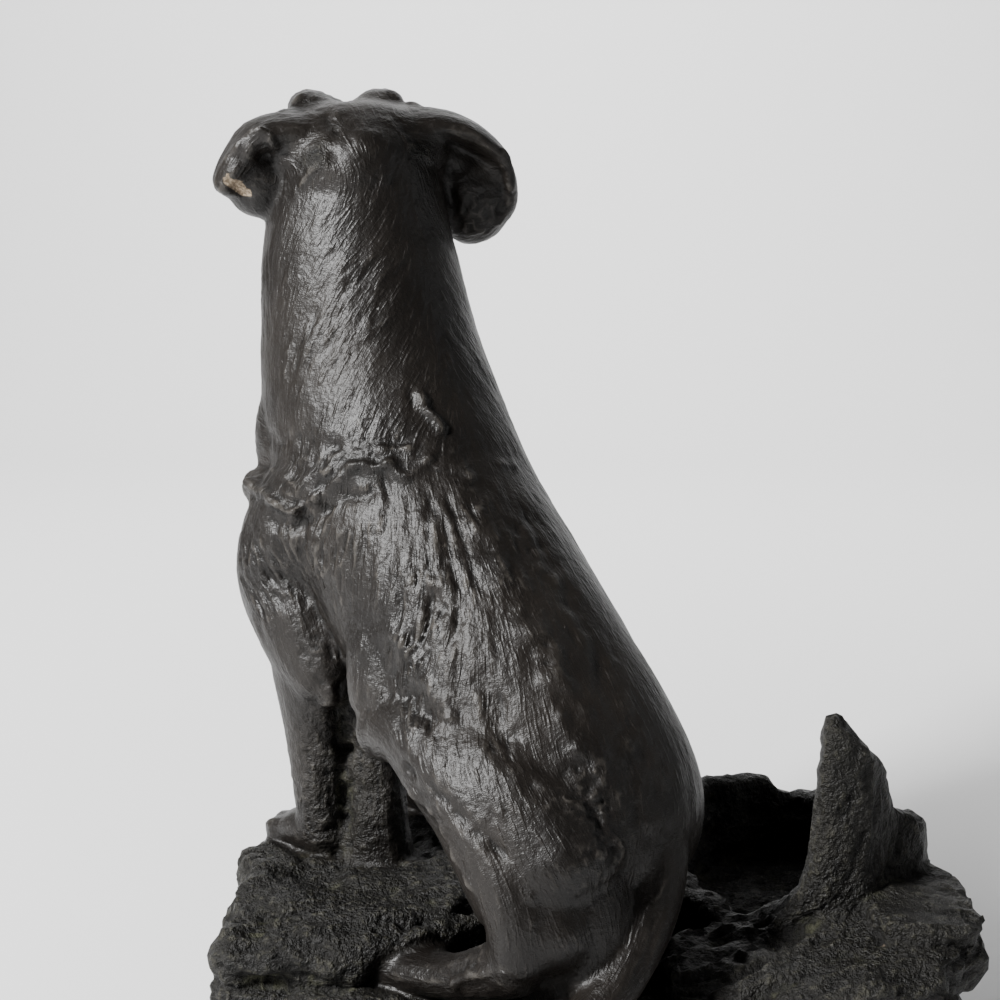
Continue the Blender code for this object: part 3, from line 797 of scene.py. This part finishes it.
# %% [markdown]
# ## Larger cuts and ridges
#
# First the long ridge and furrows of the back, the flaky fold round the neck, the groove behind the
# foreleg, the thigh and the rim of the foot; then lids, mouth, nostrils, brows and the rolled rims of
# the ears. A cut moves the skin along its normal by a bell that depends on the distance to a bent line.

# %% Lines on the dog: corners, half width, height in millimetres; "both" cuts the other side too
BODY_LINES = [
    ([(-26, 11, 38), (-20, 11, 52), (-8, 10, 68), (6, 9, 82), (20, 8, 95), (30, 7, 106)], 4.5, 1.3),
    ([(-26, 1, 40), (-18, 1, 58), (-2, 0, 76), (16, 0, 94)], 5.5, -0.8),
    ([(-14, 22, 50), (-4, 22, 62), (8, 23, 74), (20, 22, 86)], 3.5, -0.9),
    ([(36, 29, 74), (33, 32, 66), (30, 33, 56)], 2.2, -0.7),
    ([(80, 29, 101), (71, 31, 100.6), (62, 31.5, 98.6), (58.5, 30, 98), (53, 29, 101.5)], 1.1, 2.1),
    ([(53, 29, 101.5), (49.6, 27, 104), (45.3, 24.5, 109), (38.5, 19.4, 110)], 1.1, 2.0),
    ([(38.5, 19.4, 110), (34.3, 18, 107), (33, 14.4, 109.5), (32.8, 12.4, 111)], 0.9, 1.3),
    ([(79, 28, 107), (66, 30, 105.5), (58, 29, 103), (50, 27, 108)], 0.9, 1.1),
    ([(60, 29, 109), (50, 27, 111.5), (42, 21, 113), (37, 15, 113)], 0.9, 1.1),
    ([(30, 10, 113), (26, 2, 112), (28, -8, 108)], 0.9, 1.0),
    ([(66, 33, 96), (58, 31, 94.5), (52, 30, 98), (45, 26, 103), (38, 21, 105)], 1.9, -1.6),
    ([(81, 25, 113), (70, 28, 112), (61, 27.5, 113.7), (49, 25, 112), (38, 16.3, 115)], 2.2, -0.6),
    ([(40, 9.3, 124.4), (38, 9.5, 121), (36, 8, 119), (34, 8, 117)], 0.9, 1.4),
    ([(41.5, 11, 125), (39.5, 11.5, 121), (37, 10, 118)], 1.0, -0.6),
    ([(45, 4, 121), (42, -8, 118), (48, -18, 112), (60, -25, 105)], 1.6, -0.5, "both"),
    ([(24, 27.5, 75), (16.6, 27.7, 70), (10, 27.5, 64.4), (6, 27, 61)], 1.7, 1.0),
    ([(6, 27, 61), (3, 26.5, 56), (-2.6, 28.4, 50)], 1.7, 1.0),
    ([(27, 27.5, 70), (18, 28.5, 64), (11, 28.5, 58), (5, 28, 53)], 2.6, -0.7),
    ([(42.8, 26.8, 67), (47, 25, 62), (51, 23, 56), (56, 20, 42)], 2.6, -2.2),
    ([(56, 20, 42), (57, 20, 30), (56, 18, 20)], 2.6, -2.0),
    ([(35, 28, 66), (31, 31, 56), (29, 33, 49)], 1.8, -0.6),
    ([(28, 33, 47.6), (21, 34, 47.2), (14, 34, 46.7), (4, 33.5, 43.4)], 1.1, 1.1),
    ([(4, 33.5, 43.4), (-3, 34, 36), (-9, 33.6, 31)], 1.1, 1.2),
    ([(12, 34, 50.5), (4, 34.5, 48.5), (-6, 34, 44), (-14, 31, 39)], 1.5, -1.1),
    ([(-9, 33.6, 31), (-12, 33, 27), (-13.5, 32.5, 23)], 1.0, 0.6),
    ([(-20, 28.4, 31), (-20.7, 28.7, 26.6), (-18.5, 30.5, 20), (-16.7, 32, 15.6)], 1.0, 1.4),
    ([(-16.7, 32, 15.6), (-8, 34.2, 12), (-4, 34.5, 9)], 1.0, 1.4),
    ([(-8, 33.7, 17.6), (-2.3, 33, 12), (3, 33, 9)], 0.9, 0.7),
    ([(-31, 4, 24), (-33, 8, 18), (-34, 14, 12), (-33, 24, 8)], 1.1, -0.7),
]
HEAD_LINES = [
    ([(16, 10.5, 7.2), (18.5, 11.6, 6.9), (21, 11.2, 5.6), (22.2, 9.8, 4.2)], 1.0, 0.7, "both"),
    ([(16, 12.4, 3.2), (18.6, 12.6, 1.6), (21.2, 11.4, 1.4), (22.6, 9.6, 2.6)], 0.8, 0.5, "both"),
    ([(38, 0.5, -11), (36, 4.5, -13.5), (30, 8.5, -15.5)], 0.9, -1.2, "both"),
    ([(30, 8.5, -15.5), (22, 10.8, -15), (15, 12.6, -12.5)], 0.9, -1.1, "both"),
    ([(42.6, 2.6, -3.2), (41.8, 4.2, -3.6)], 1.1, -1.5, "both"),
    ([(43.8, 0, -4.5), (42, 0, -9)], 0.6, -0.7, "both"),
    ([(26, 0, 5), (14, 0, 15), (4, 0, 17)], 2.6, -0.8, "both"),
    ([(-2, 17.4, 13.4), (8, 13, 15), (9, 9, 16.7), (-2.3, 6, 15.7), (-9, 5, 13.5)], 1.5, 0.8),
    ([(9, -7, 15.5), (10, -11, 15.5), (2, -15, 14)], 1.8, 1.0),
    ([(-5, 16, 12), (1, 11, 14.5), (-5, 8.5, 14.5), (-13, 7, 11)], 1.6, -0.6),
    ([(-4.6, 31, 3.6), (-6.4, 28.6, 6.8), (-7.4, 26.3, 9.5), (-9, 23, 10.6)], 1.0, 0.8),
    ([(-9, 23, 10.6), (-10, 21.3, 10.2), (-9.4, 20.4, 7.9), (-7, 19.5, 5.5)], 1.0, 0.9),
    ([(-7.5, 27.5, 4), (-7.5, 25, 6), (-6, 22.7, 4)], 2.2, -0.8),
    ([(-8.2, -34, 4), (-7.6, -36, 0), (-7.7, -36.4, -5)], 0.9, 0.7),
    ([(-7.7, -36.4, -5), (-5.7, -36, -9.5), (-5.1, -34, -13)], 0.9, 0.7),
    ([(-8, -31.5, 4), (-8, -34, 0), (-7.7, -34.2, -5), (-6, -33.6, -10)], 1.0, -0.7),
    ([(-6.3, -22.6, 5), (-6, -22, 0), (-6, -22.3, -6), (-6, -23, -12)], 1.6, -0.8),
    ([(-13.8, 14.7, -1), (-17, 9.8, 5)], 0.8, 0.6),
    ([(-12.5, 16.5, -3), (-15.5, 13, 2)], 0.7, 0.5),
]


# %% Carve them
def carved(places, lines, points):
    """Sum of the lines' bells, in millimetres: height x exp(-(distance / width) squared).

    Noise bends each line by about a millimetre and breaks it up into shorter pieces.
    """
    depth = np.zeros(len(places))
    for corners, width, height, *both in lines:
        corners = np.array(corners, float)
        for sign in (1, -1) if both else (1,):
            middle = corners.mean(0) * (1, sign, 1)
            reach = np.linalg.norm(corners - corners.mean(0), axis=1).max() + 4 * width + 1
            near = np.nonzero(np.linalg.norm(places - middle, axis=1) < reach)[0]
            p = MM * points[near]
            away = off_line(places[near], corners * (1, sign, 1))
            away += 0.5 * noise(p / 3.4) + 0.25 * noise(p / 1.7)
            strength = np.clip(0.75 + 0.9 * noise(p / 3.0 + 9.0), 0.1, 1.5)
            depth[near] += height * strength * np.exp(-((away / width) ** 2))
    return depth


in_head = drawn(points, SKULL)
warm = 1.4 * spot(in_head, (12, 9, 16), 12) + 1.4 * spot(in_head, (12, -9, 16), 12)
warm += 0.8 * spot(in_body, (-4, 2, 62), 16)
warm += 0.8 * spot(in_head, (-8, 24, 5), 8)
points += (blurred(points, edges, 110) - points) * np.clip(warm, 0, 1)[:, None]
in_head, in_body = drawn(points, SKULL), drawn(points, BODY)
depth = carved(in_body, BODY_LINES, points) + carved(in_head, HEAD_LINES, points)
points = points + normals * depth[:, None] * METRE
print("cuts and ridges, mm:", round(float(depth.min()), 2), "to", round(float(depth.max()), 2))

# %% [markdown]
# ## Strokes of the tool
#
# A stroke is noise smeared along the lie: the mean of several samples on a short straight line through
# the point. Two points of one line share most of their samples, so they get nearly the same value, and
# two points side by side don't. The tool was pressed lightly on the panel behind the elbow and on the
# dark side of the back, hard on shoulder and flank, and it left the haunch and the elbow crumbly.


# %% Strokes
def strokes(points, lie, width, length, seed, taps=9):
    """Noise of that width in millimetres, smeared over that length and scaled to a spread of one."""
    share = np.cos(np.linspace(-1.25, 1.25, taps))
    total = 0
    for along, weight in zip(np.linspace(-0.5, 0.5, taps), share):
        total = total + weight * noise((MM * points + lie * (along * length)) / width + seed)
    return total / total.std()


def crests(x):
    """Rounded tops and sharp valleys: 1 - |x|, levelled off far out."""
    return 1 - np.minimum(np.abs(x), 2.2)


def pressed(b, h):
    """How hard the coat's strokes were pressed at every point."""
    strength = 0.34 + 0 * b[:, 0]
    strength += 1.2 * spot(b, (66, 32, 83), 13) + 1.1 * spot(b, (52, 28, 92), 12)
    strength += 1.3 * spot(b, (22, 22, 88), 15) + 1.2 * spot(b, (16, 27, 68), 11)
    strength += 0.5 * spot(b, (58, 22, 140), 15) + 0.7 * spot(b, (5, 26, 52), 14)
    strength += 0.5 * spot(b, (50, 24, 112), (16, 14, 8)) + 0.4 * spot(b, (34, 2, 104), 14)
    strength -= 0.3 * spot(b, (24, 31, 54), 8)
    strength -= 0.2 * spot(b, (0, -8, 80), 26)
    strength -= 0.3 * spot(h, (34, 0, -6), 14)
    return np.clip(strength, 0.12, 1.6)


def rough_patches(b, h):
    """Where the wax was left crumbly: haunch, elbow, web behind the foreleg, fold, folded ears."""
    rough = 1.1 * spot(b, (-20, 14, 48), (6, 7, 9)) + 1.1 * spot(b, (-24, 14, 37), (6, 8, 9))
    rough += 0.8 * spot(b, (54, 26, 66), 7) + 1.0 * spot(b, (51, 22, 55), 5)
    rough += 1.2 * spot(b, (55, 19, 36), (12, 13, 26)) + 0.6 * spot(b, (8, 27, 64), (6, 6, 5))
    rough += 0.8 * spot(b, (44, 22, 109), (13, 10, 5)) + 0.8 * spot(b, (76, 30, 104), (6, 5, 8))
    rough += 0.7 * spot(b, (-5, 33, 16), (10, 8, 7)) + 0.6 * spot(b, (33, 6, 108), (8, 10, 5))
    rough += 1.1 * spot(h, (-6, -28, -9), (7, 8, 8)) + 0.5 * spot(h, (-7, 22, 0), (6, 6, 7))
    return np.clip(rough, 0, 1.2)


def work_coat(points, lie, b, h):
    """Height in millimetres of the coat's locks, strokes and crumbs, and how rough it is."""
    p = MM * points
    clumps = smoothstep(-0.3, 0.5, noise(p / 6.5 + 40.0))
    locks = strokes(points, lie, 2.6, 14.0, 3.0)
    broad = crests(strokes(points, lie, 1.7, 10.0, 11.0))
    fine = crests(strokes(points, lie, 1.15, 7.0, 23.0, taps=7))
    strength = pressed(b, h)
    rough = rough_patches(b, h)
    crumbs = ridged(p / 2.1) * 0.5 + ridged(p / 1.25 + 5.0) * 0.5
    height = strength * (0.12 * locks + (0.08 + 0.27 * clumps) * broad + (0.15 + 0.12 * clumps) * fine)
    return height * (1 - 0.6 * rough) + 0.68 * rough * crumbs, rough


def work_rock(points, lie, plain):
    """Height in millimetres of the rock's beds, splits, flaked steps and grain; plain has no steps."""
    p = MM * points
    beds = crests(strokes(points, lie, 3.0, 24.0, 51.0))
    splits = crests(strokes(points, lie, 1.5, 12.0, 63.0))
    steps = (1 - plain) * np.tanh(7 * noise(p / (7.0, 6.0, 4.0) + 71.0))
    shards = (1 - plain) * np.tanh(6 * noise(p / (3.6, 3.2, 2.4) + 77.0))
    flakes = ridged(p / 2.6 + 83.0)
    grain = ridged(p / 1.3 + 93.0)
    return 0.42 * beds + 0.52 * splits + 0.44 * steps + 0.34 * shards + 0.42 * flakes + 0.26 * grain


coat_height, rough = work_coat(points, lie, in_body, in_head)
blade = 0.85 * smoothstep(0.043, 0.050, points[:, 2]) * (1 - coat)
rock_height = work_rock(points, lie, blade) * (1 - 0.45 * blade)
coat = coat * (1 - 0.75 * spot(in_body, (55, 20, 28), (11, 13, 20)))
height = coat * coat_height + (1 - coat) * rock_height
height *= 0.3 + 0.7 * smoothstep(0.0, 0.006, points[:, 2])
points = points + normals * height[:, None] * METRE
print("strokes, mm:", round(float(height.min()), 2), "to", round(float(height.max()), 2))

# %% [markdown]
# ## Damage
#
# The left ear has lost its tip, which leaves a flat break of pale grainy core, and a small flake is
# gone from a ridge of the stump's ledge. Points beyond a plane of break are drawn back onto it.


# %% Broken ear tip and flake
def broken(points, centre, way_out, reach, long_way=(0, 0, 0), slender=1.0):
    """Points within reach and beyond the plane, drawn back to it; and which points those are.

    Along its long way the break reaches slender times as far.
    """
    n = np.asarray(way_out, float)
    n = n / np.linalg.norm(n)
    rel = points - centre
    beyond = rel @ n
    along = np.outer(rel @ np.asarray(long_way), long_way)
    p = MM * points
    ragged = 1 + 0.2 * noise(p / 1.2 + 31.0)
    far = np.linalg.norm(rel - along * (1 - 1 / slender), axis=1) * ragged
    uneven = 0.00020 * noise(p / 1.5) + 0.00010 * noise(p / 0.8)
    cut = (far < reach) & (beyond > uneven)
    return points - np.where(cut, beyond - uneven, 0)[:, None] * n, cut


ear_place = SKULL.place((-5.6, 29.1, -1.9))
ear_way = SKULL.turn((-0.80, 0.28, -0.53))
ear_edge = SKULL.turn((0.0, 0.80, 0.60))
points, ear_chip = broken(points, ear_place, ear_way, 0.0019, ear_edge, 2.3)
flake_place = BODY.place((-53.7, -39.0, 13.0))
points, flake = broken(points, flake_place, (-0.1, 0.85, 0.5), 0.0016)
chip = np.maximum(ear_chip, 0.8 * flake)
print("points in the breaks:", int(ear_chip.sum()), int(flake.sum()))

# %% [markdown]
# ## What the finish needs
#
# The underside is made flat again at Z = 0 and the points are held to the CAD box. Then the patina's
# guides are stored on the points: the lie, how much is coat, how hollow or proud each place is against
# its near and its wider surroundings, rough patches and breaks.

# %% Hollow and proud places, stored
points[:, 2] = np.where(points[:, 2] < 0.00012, 0, points[:, 2])
points = np.clip(points, CAD_LOW - (BOX_MARGIN, BOX_MARGIN, 0), CAD_HIGH + BOX_MARGIN)
figure.data.vertices.foreach_set("co", points.astype(np.float32).ravel())
figure.data.update()
points, normals = read_skin()
near_mean = blurred(points, edges, 4)
wide_mean = blurred(near_mean, edges, 60)
small = ((points - near_mean) * normals).sum(1) * MM
broad = ((near_mean - wide_mean) * normals).sum(1) * MM
print("against near surroundings, mm:", np.round(np.percentile(small, (1, 50, 99)), 3))
print("against wide surroundings, mm:", np.round(np.percentile(broad, (1, 50, 99)), 3))


def store(name, values, kind="FLOAT"):
    """A value for every point of the figure, for the finish to read."""
    attribute = figure.data.attributes.new(name, kind, "POINT")
    field = "vector" if kind == "FLOAT_VECTOR" else "value"
    attribute.data.foreach_set(field, np.asarray(values, np.float32).ravel())


store("lie", along_skin(lie, normals), "FLOAT_VECTOR")
store("coat", coat)
store("proud", np.clip(0.5 + small / (4 * small.std()), 0, 1))
store("broad", np.clip(0.5 + broad / (4 * broad.std()), 0, 1))
store("rough", rough * coat)
store("chip", chip)

# %% [markdown]
# ## Fewer triangles
#
# The skin is thinned where it is plain. A weight keeps more of the coat, where strokes show, than of
# the base's flanks and the underside.

# %% Thin the skin
weight = figure.vertex_groups.new(name="plain")
plain = np.clip((1 - coat) * (0.45 + 0.4 * (points[:, 2] < 0.024)), 0, 1)
for level in range(5):
    chosen = np.nonzero((plain >= level / 5) & (plain < (level + 1) / 5 + (level == 4)))[0]
    if len(chosen):
        weight.add(chosen.tolist(), level / 5 + 0.1, "REPLACE")
thin = figure.modifiers.new("thin", "DECIMATE")
thin.vertex_group = "plain"
thin.vertex_group_factor = 0.6
thin.ratio = TRIANGLES / (2 * len(figure.data.vertices))
settle(figure)
figure.vertex_groups.clear()
figure.data.shade_smooth()
print(len(figure.data.polygons), "faces after thinning")

# %% [markdown]
# ## Patina
#
# Dark brown-black over the coat with a satin shine. On ridges the patina is rubbed and a little
# lighter, and that lighter colour is also a painted highlight; the hollows of coat and rock are
# painted near-black as shade, and grey-green dust lies in the rock's recesses. A thin bump of
# hair-fine strokes follows the same lie as the carved ones: noise smeared by sampling it at several
# steps along the lie.


# %% Shader helper
class Value:
    """A socket that can be reckoned with: + - * between sockets and numbers makes Math nodes."""

    def __init__(self, tree, socket):
        self.tree = tree
        self.socket = socket

    def math(self, operation, *others):
        node = self.tree.nodes.new("ShaderNodeMath")
        node.operation = operation
        for place, item in zip(node.inputs, (self, *others)):
            feed(self.tree, place, item)
        return Value(self.tree, node.outputs[0])

    def __add__(self, other):
        return self.math("ADD", other)

    def __sub__(self, other):
        return self.math("SUBTRACT", other)

    def __mul__(self, other):
        return self.math("MULTIPLY", other)

    def __rsub__(self, other):
        return (self * -1.0) + other

    __radd__ = __add__
    __rmul__ = __mul__

    def ramp(self, low, high):
        """0 at low, 1 at high, an S between."""
        node = self.tree.nodes.new("ShaderNodeMapRange")
        node.interpolation_type = "SMOOTHSTEP"
        feed(self.tree, node.inputs["Value"], self)
        node.inputs["From Min"].default_value = low
        node.inputs["From Max"].default_value = high
        return Value(self.tree, node.outputs["Result"])


def feed(tree, place, item):
    """Links a socket, or sets a constant, on an input."""
    if isinstance(item, Value):
        tree.links.new(item.socket, place)
    else:
        place.default_value = item


class Shader:
    """A material's tree, with one method for each kind of node that the patina needs."""

    def __init__(self, name):
        self.material = bpy.data.materials.new(name)
        self.material.use_nodes = True
        self.tree = self.material.node_tree
        self.surface = self.tree.nodes["Principled BSDF"]

    def node(self, kind, output=0, settings=(), **inputs):
        """Any node: settings are its properties, inputs its sockets by name."""
        made = self.tree.nodes.new(kind)
        for key, value in dict(settings).items():
            setattr(made, key, value)
        for key, value in inputs.items():
            feed(self.tree, made.inputs[key.replace("_", " ")], value)
        return Value(self.tree, made.outputs[output])

    def attribute(self, name, output="Fac"):
        return self.node("ShaderNodeAttribute", output, {"attribute_name": name})

    def mix(self, factor, a, b):
        """A colour between a and b."""
        made = self.tree.nodes.new("ShaderNodeMix")
        made.data_type = "RGBA"
        for index, item in ((0, factor), (6, a), (7, b)):
            feed(self.tree, made.inputs[index], item)
        return Value(self.tree, made.outputs[2])

    def stepped(self, start, way, distance):
        """start + way x distance, for vectors."""
        made = self.tree.nodes.new("ShaderNodeVectorMath")
        made.operation = "MULTIPLY_ADD"
        feed(self.tree, made.inputs[0], way)
        made.inputs[1].default_value = (distance, distance, distance)
        feed(self.tree, made.inputs[2], start)
        return Value(self.tree, made.outputs[0])

    def grain(self, vector, scale, detail=3.0, roughness=0.55):
        inputs = {"Vector": vector, "Scale": scale, "Detail": detail, "Roughness": roughness}
        return self.node("ShaderNodeTexNoise", "Fac", **inputs)

    def smeared(self, place, way, scale, length, taps):
        """Mean of noise sampled at steps along the lie."""
        total = 0.0
        for along in np.linspace(-0.5, 0.5, taps):
            total = self.grain(self.stepped(place, way, float(along * length)), scale, 1.0) + total
        return total * (1 / taps)

    def set(self, **inputs):
        for key, value in inputs.items():
            feed(self.tree, self.surface.inputs[key.replace("_", " ")], value)


# %% Patina of the casting
def patina():
    """The brown-black finish, its rubbed ridges, the dusty rock and the pale core of the breaks.

    Ridges are painted lighter, partly as rubbing and partly as a painted highlight, and the hollows
    of coat and rock get painted shade.
    """
    s = Shader("bronze_patina")
    place = s.node("ShaderNodeTexCoord", "Object")
    way = s.attribute("lie", "Vector")
    coat, proud, broad, rough, chip = map(s.attribute, ("coat", "proud", "broad", "rough", "chip"))
    cloud = s.grain(place, 42.0, 4.0)
    blotch = s.grain(place, 150.0, 3.0)
    speck = s.grain(place, 1500.0, 2.0, 0.7)
    crumb = s.grain(place, 700.0, 3.0, 0.65)
    hair = s.smeared(place, way, 1300.0, 0.0028, 8)
    groove = (hair - 0.5).math("ABSOLUTE")
    # hollow marks concave places; it drives the painted shade in coat and rock below.
    ridge = proud.ramp(0.55, 0.85)
    hollow = proud.ramp(0.45, 0.20)
    deep = broad.ramp(0.42, 0.10)
    dark = s.mix(cloud.ramp(0.35, 0.7), (0.0050, 0.0040, 0.0033, 1), (0.0100, 0.0080, 0.0064, 1))
    # Painted highlight: ridges and raised hair lines are made lighter, partly as rubbed patina and
    # partly as a highlight painted into the colour.
    rubbed_and_highlit = s.mix(ridge * blotch.ramp(0.4, 0.7) * 0.8, dark, (0.050, 0.045, 0.039, 1))
    rubbed_and_highlit = s.mix(hair.ramp(0.54, 0.62) * 0.15, rubbed_and_highlit, (0.040, 0.035, 0.030, 1))
    # Painted shade: the coat is darkened towards near-black in its hollows, where shade falls.
    coat_with_painted_shade = s.mix(hollow * 0.7, rubbed_and_highlit, (0.0030, 0.0026, 0.0022, 1))
    stone = s.mix(cloud.ramp(0.3, 0.75), (0.0036, 0.0031, 0.0024, 1), (0.0080, 0.0072, 0.0054, 1))
    # Ridges of the rock are painted lighter: partly worn edges, partly a painted highlight.
    stone = s.mix(ridge * crumb.ramp(0.45, 0.65) * 0.7, stone, (0.036, 0.034, 0.025, 1))
    stone = s.mix(deep * blotch.ramp(0.42, 0.62) * 0.8, stone, (0.034, 0.034, 0.020, 1))
    # Painted shade: the rock is darkened towards near-black in its hollows, where shade falls.
    stone = s.mix(hollow * 0.8, stone, (0.0025, 0.0022, 0.0018, 1))
    colour = s.mix(coat, stone, coat_with_painted_shade)
    core = s.mix(speck.ramp(0.35, 0.65), (0.09, 0.066, 0.045, 1), (0.24, 0.19, 0.135, 1))
    colour = s.mix(chip.ramp(0.35, 0.65), colour, core)
    shine = 0.31 + 0.24 * cloud + 0.08 * rough
    dull = 0.42 + 0.24 * cloud + 0.15 * deep
    roughness = shine * coat + dull * (1 - coat)
    lines = (hair * 0.0006 + groove * 0.0007) * (0.25 + 1.2 * blotch)
    crumbs = crumb * (0.0018 + 0.0004 * rough)
    relief = lines * coat * (1 - 0.5 * rough) + crumbs * (1.15 - coat) + speck * 0.00004
    height = relief * (1 - 0.6 * chip)
    bump = s.node("ShaderNodeBump", "Normal", Strength=0.9, Distance=1.0, Height=height)
    s.set(
        Base_Color=colour, Roughness=roughness + 0.5 * chip, Metallic=0.0,
        Normal=bump, Specular_IOR_Level=0.26,
    )
    return s.material


figure.data.materials.clear()
figure.data.materials.append(patina())
print(len(figure.data.materials[0].node_tree.nodes), "nodes in the patina")
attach(figure, "root")
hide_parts("labrador_figurine")

# %% [markdown]
# ## Studio
#
# A pale cloth sweeps up behind the figurine. A small strong light stands high on the photographer's
# left, a weak one on the right, a wide one shines on the cloth only, and the sky is a dim plain white.


# %% Backdrop
def sweep(width, front, back, top, bend):
    """A sheet that runs level from front to back, then bends up: a line, an arc and a line."""
    arc = np.linspace(0, math.pi / 2, 24)
    y = np.concatenate([[front], back + bend * (1 - np.sin(arc)), [back]])
    z = np.concatenate([[0], bend * (1 - np.cos(arc)), [top]])
    points = np.concatenate([[(x, a, b) for a, b in zip(y, z)] for x in (-width / 2, width / 2)])
    n = len(y)
    faces = [(i, n + i, n + i + 1, i + 1) for i in range(n - 1)]
    mesh = bpy.data.meshes.new("backdrop")
    mesh.from_pydata(points.tolist(), [], faces)
    mesh.shade_smooth()
    cloth = Shader("pale_cloth")
    cloth.set(Base_Color=(0.80, 0.80, 0.80, 1), Roughness=0.9)
    mesh.materials.append(cloth.material)
    return put("backdrop", mesh)


floor = sweep(6.0, 1.6, -1.5, 2.4, 0.6)


# %% Lights and sky
def softbox(name, place, aim, size, power):
    """A square area light that faces a point."""
    data = bpy.data.lights.new(name, "AREA")
    data.shape = "SQUARE"
    data.size = size
    data.energy = power
    turn = (Vector(aim) - Vector(place)).to_track_quat("-Z", "Y").to_matrix()
    put(name, data).matrix_world = Matrix.Translation(place) @ turn.to_4x4()


softbox("left_light", (0.62, 0.38, 0.58), (0.02, 0.0, 0.11), 0.17, 25.0)
softbox("right_light", (-0.75, 0.05, 0.40), (0, 0, 0.10), 0.4, 0.7)
softbox("backdrop_light", (0, -0.45, 1.20), (0, -1.50, 0.80), 1.2, 42.0)
sky = bpy.data.worlds.new("soft_white")
sky.use_nodes = True
glow = sky.node_tree.nodes["Background"].inputs
glow["Color"].default_value = (1, 1, 1, 1)
glow["Strength"].default_value = 0.08
bpy.context.scene.world = sky
print(len(bpy.data.lights), "lights")

# %% [markdown]
# ## Camera
#
# The photographer stood close, a little above the dog's shoulders and looking down by ten degrees. The
# picture is square, and the base runs out of its lower edge.

# %% Camera
EYE = np.array((0.0195, 0.360, 0.1946)) + MOVED
LOOK_DOWN = 10
VIEW_ANGLE = 34

camera_data = bpy.data.cameras.new("camera")
camera_data.angle = math.radians(VIEW_ANGLE)
camera_data.clip_start = 0.01
camera = put("camera", camera_data)
tilted = Matrix.Rotation(math.radians(90 - LOOK_DOWN), 4, "X")
camera.matrix_world = Matrix.Translation(EYE) @ Matrix.Rotation(math.pi, 4, "Z") @ tilted
bpy.context.scene.camera = camera
print("camera, mm:", np.round(MM * EYE, 1), "looks down by", LOOK_DOWN, "degrees")
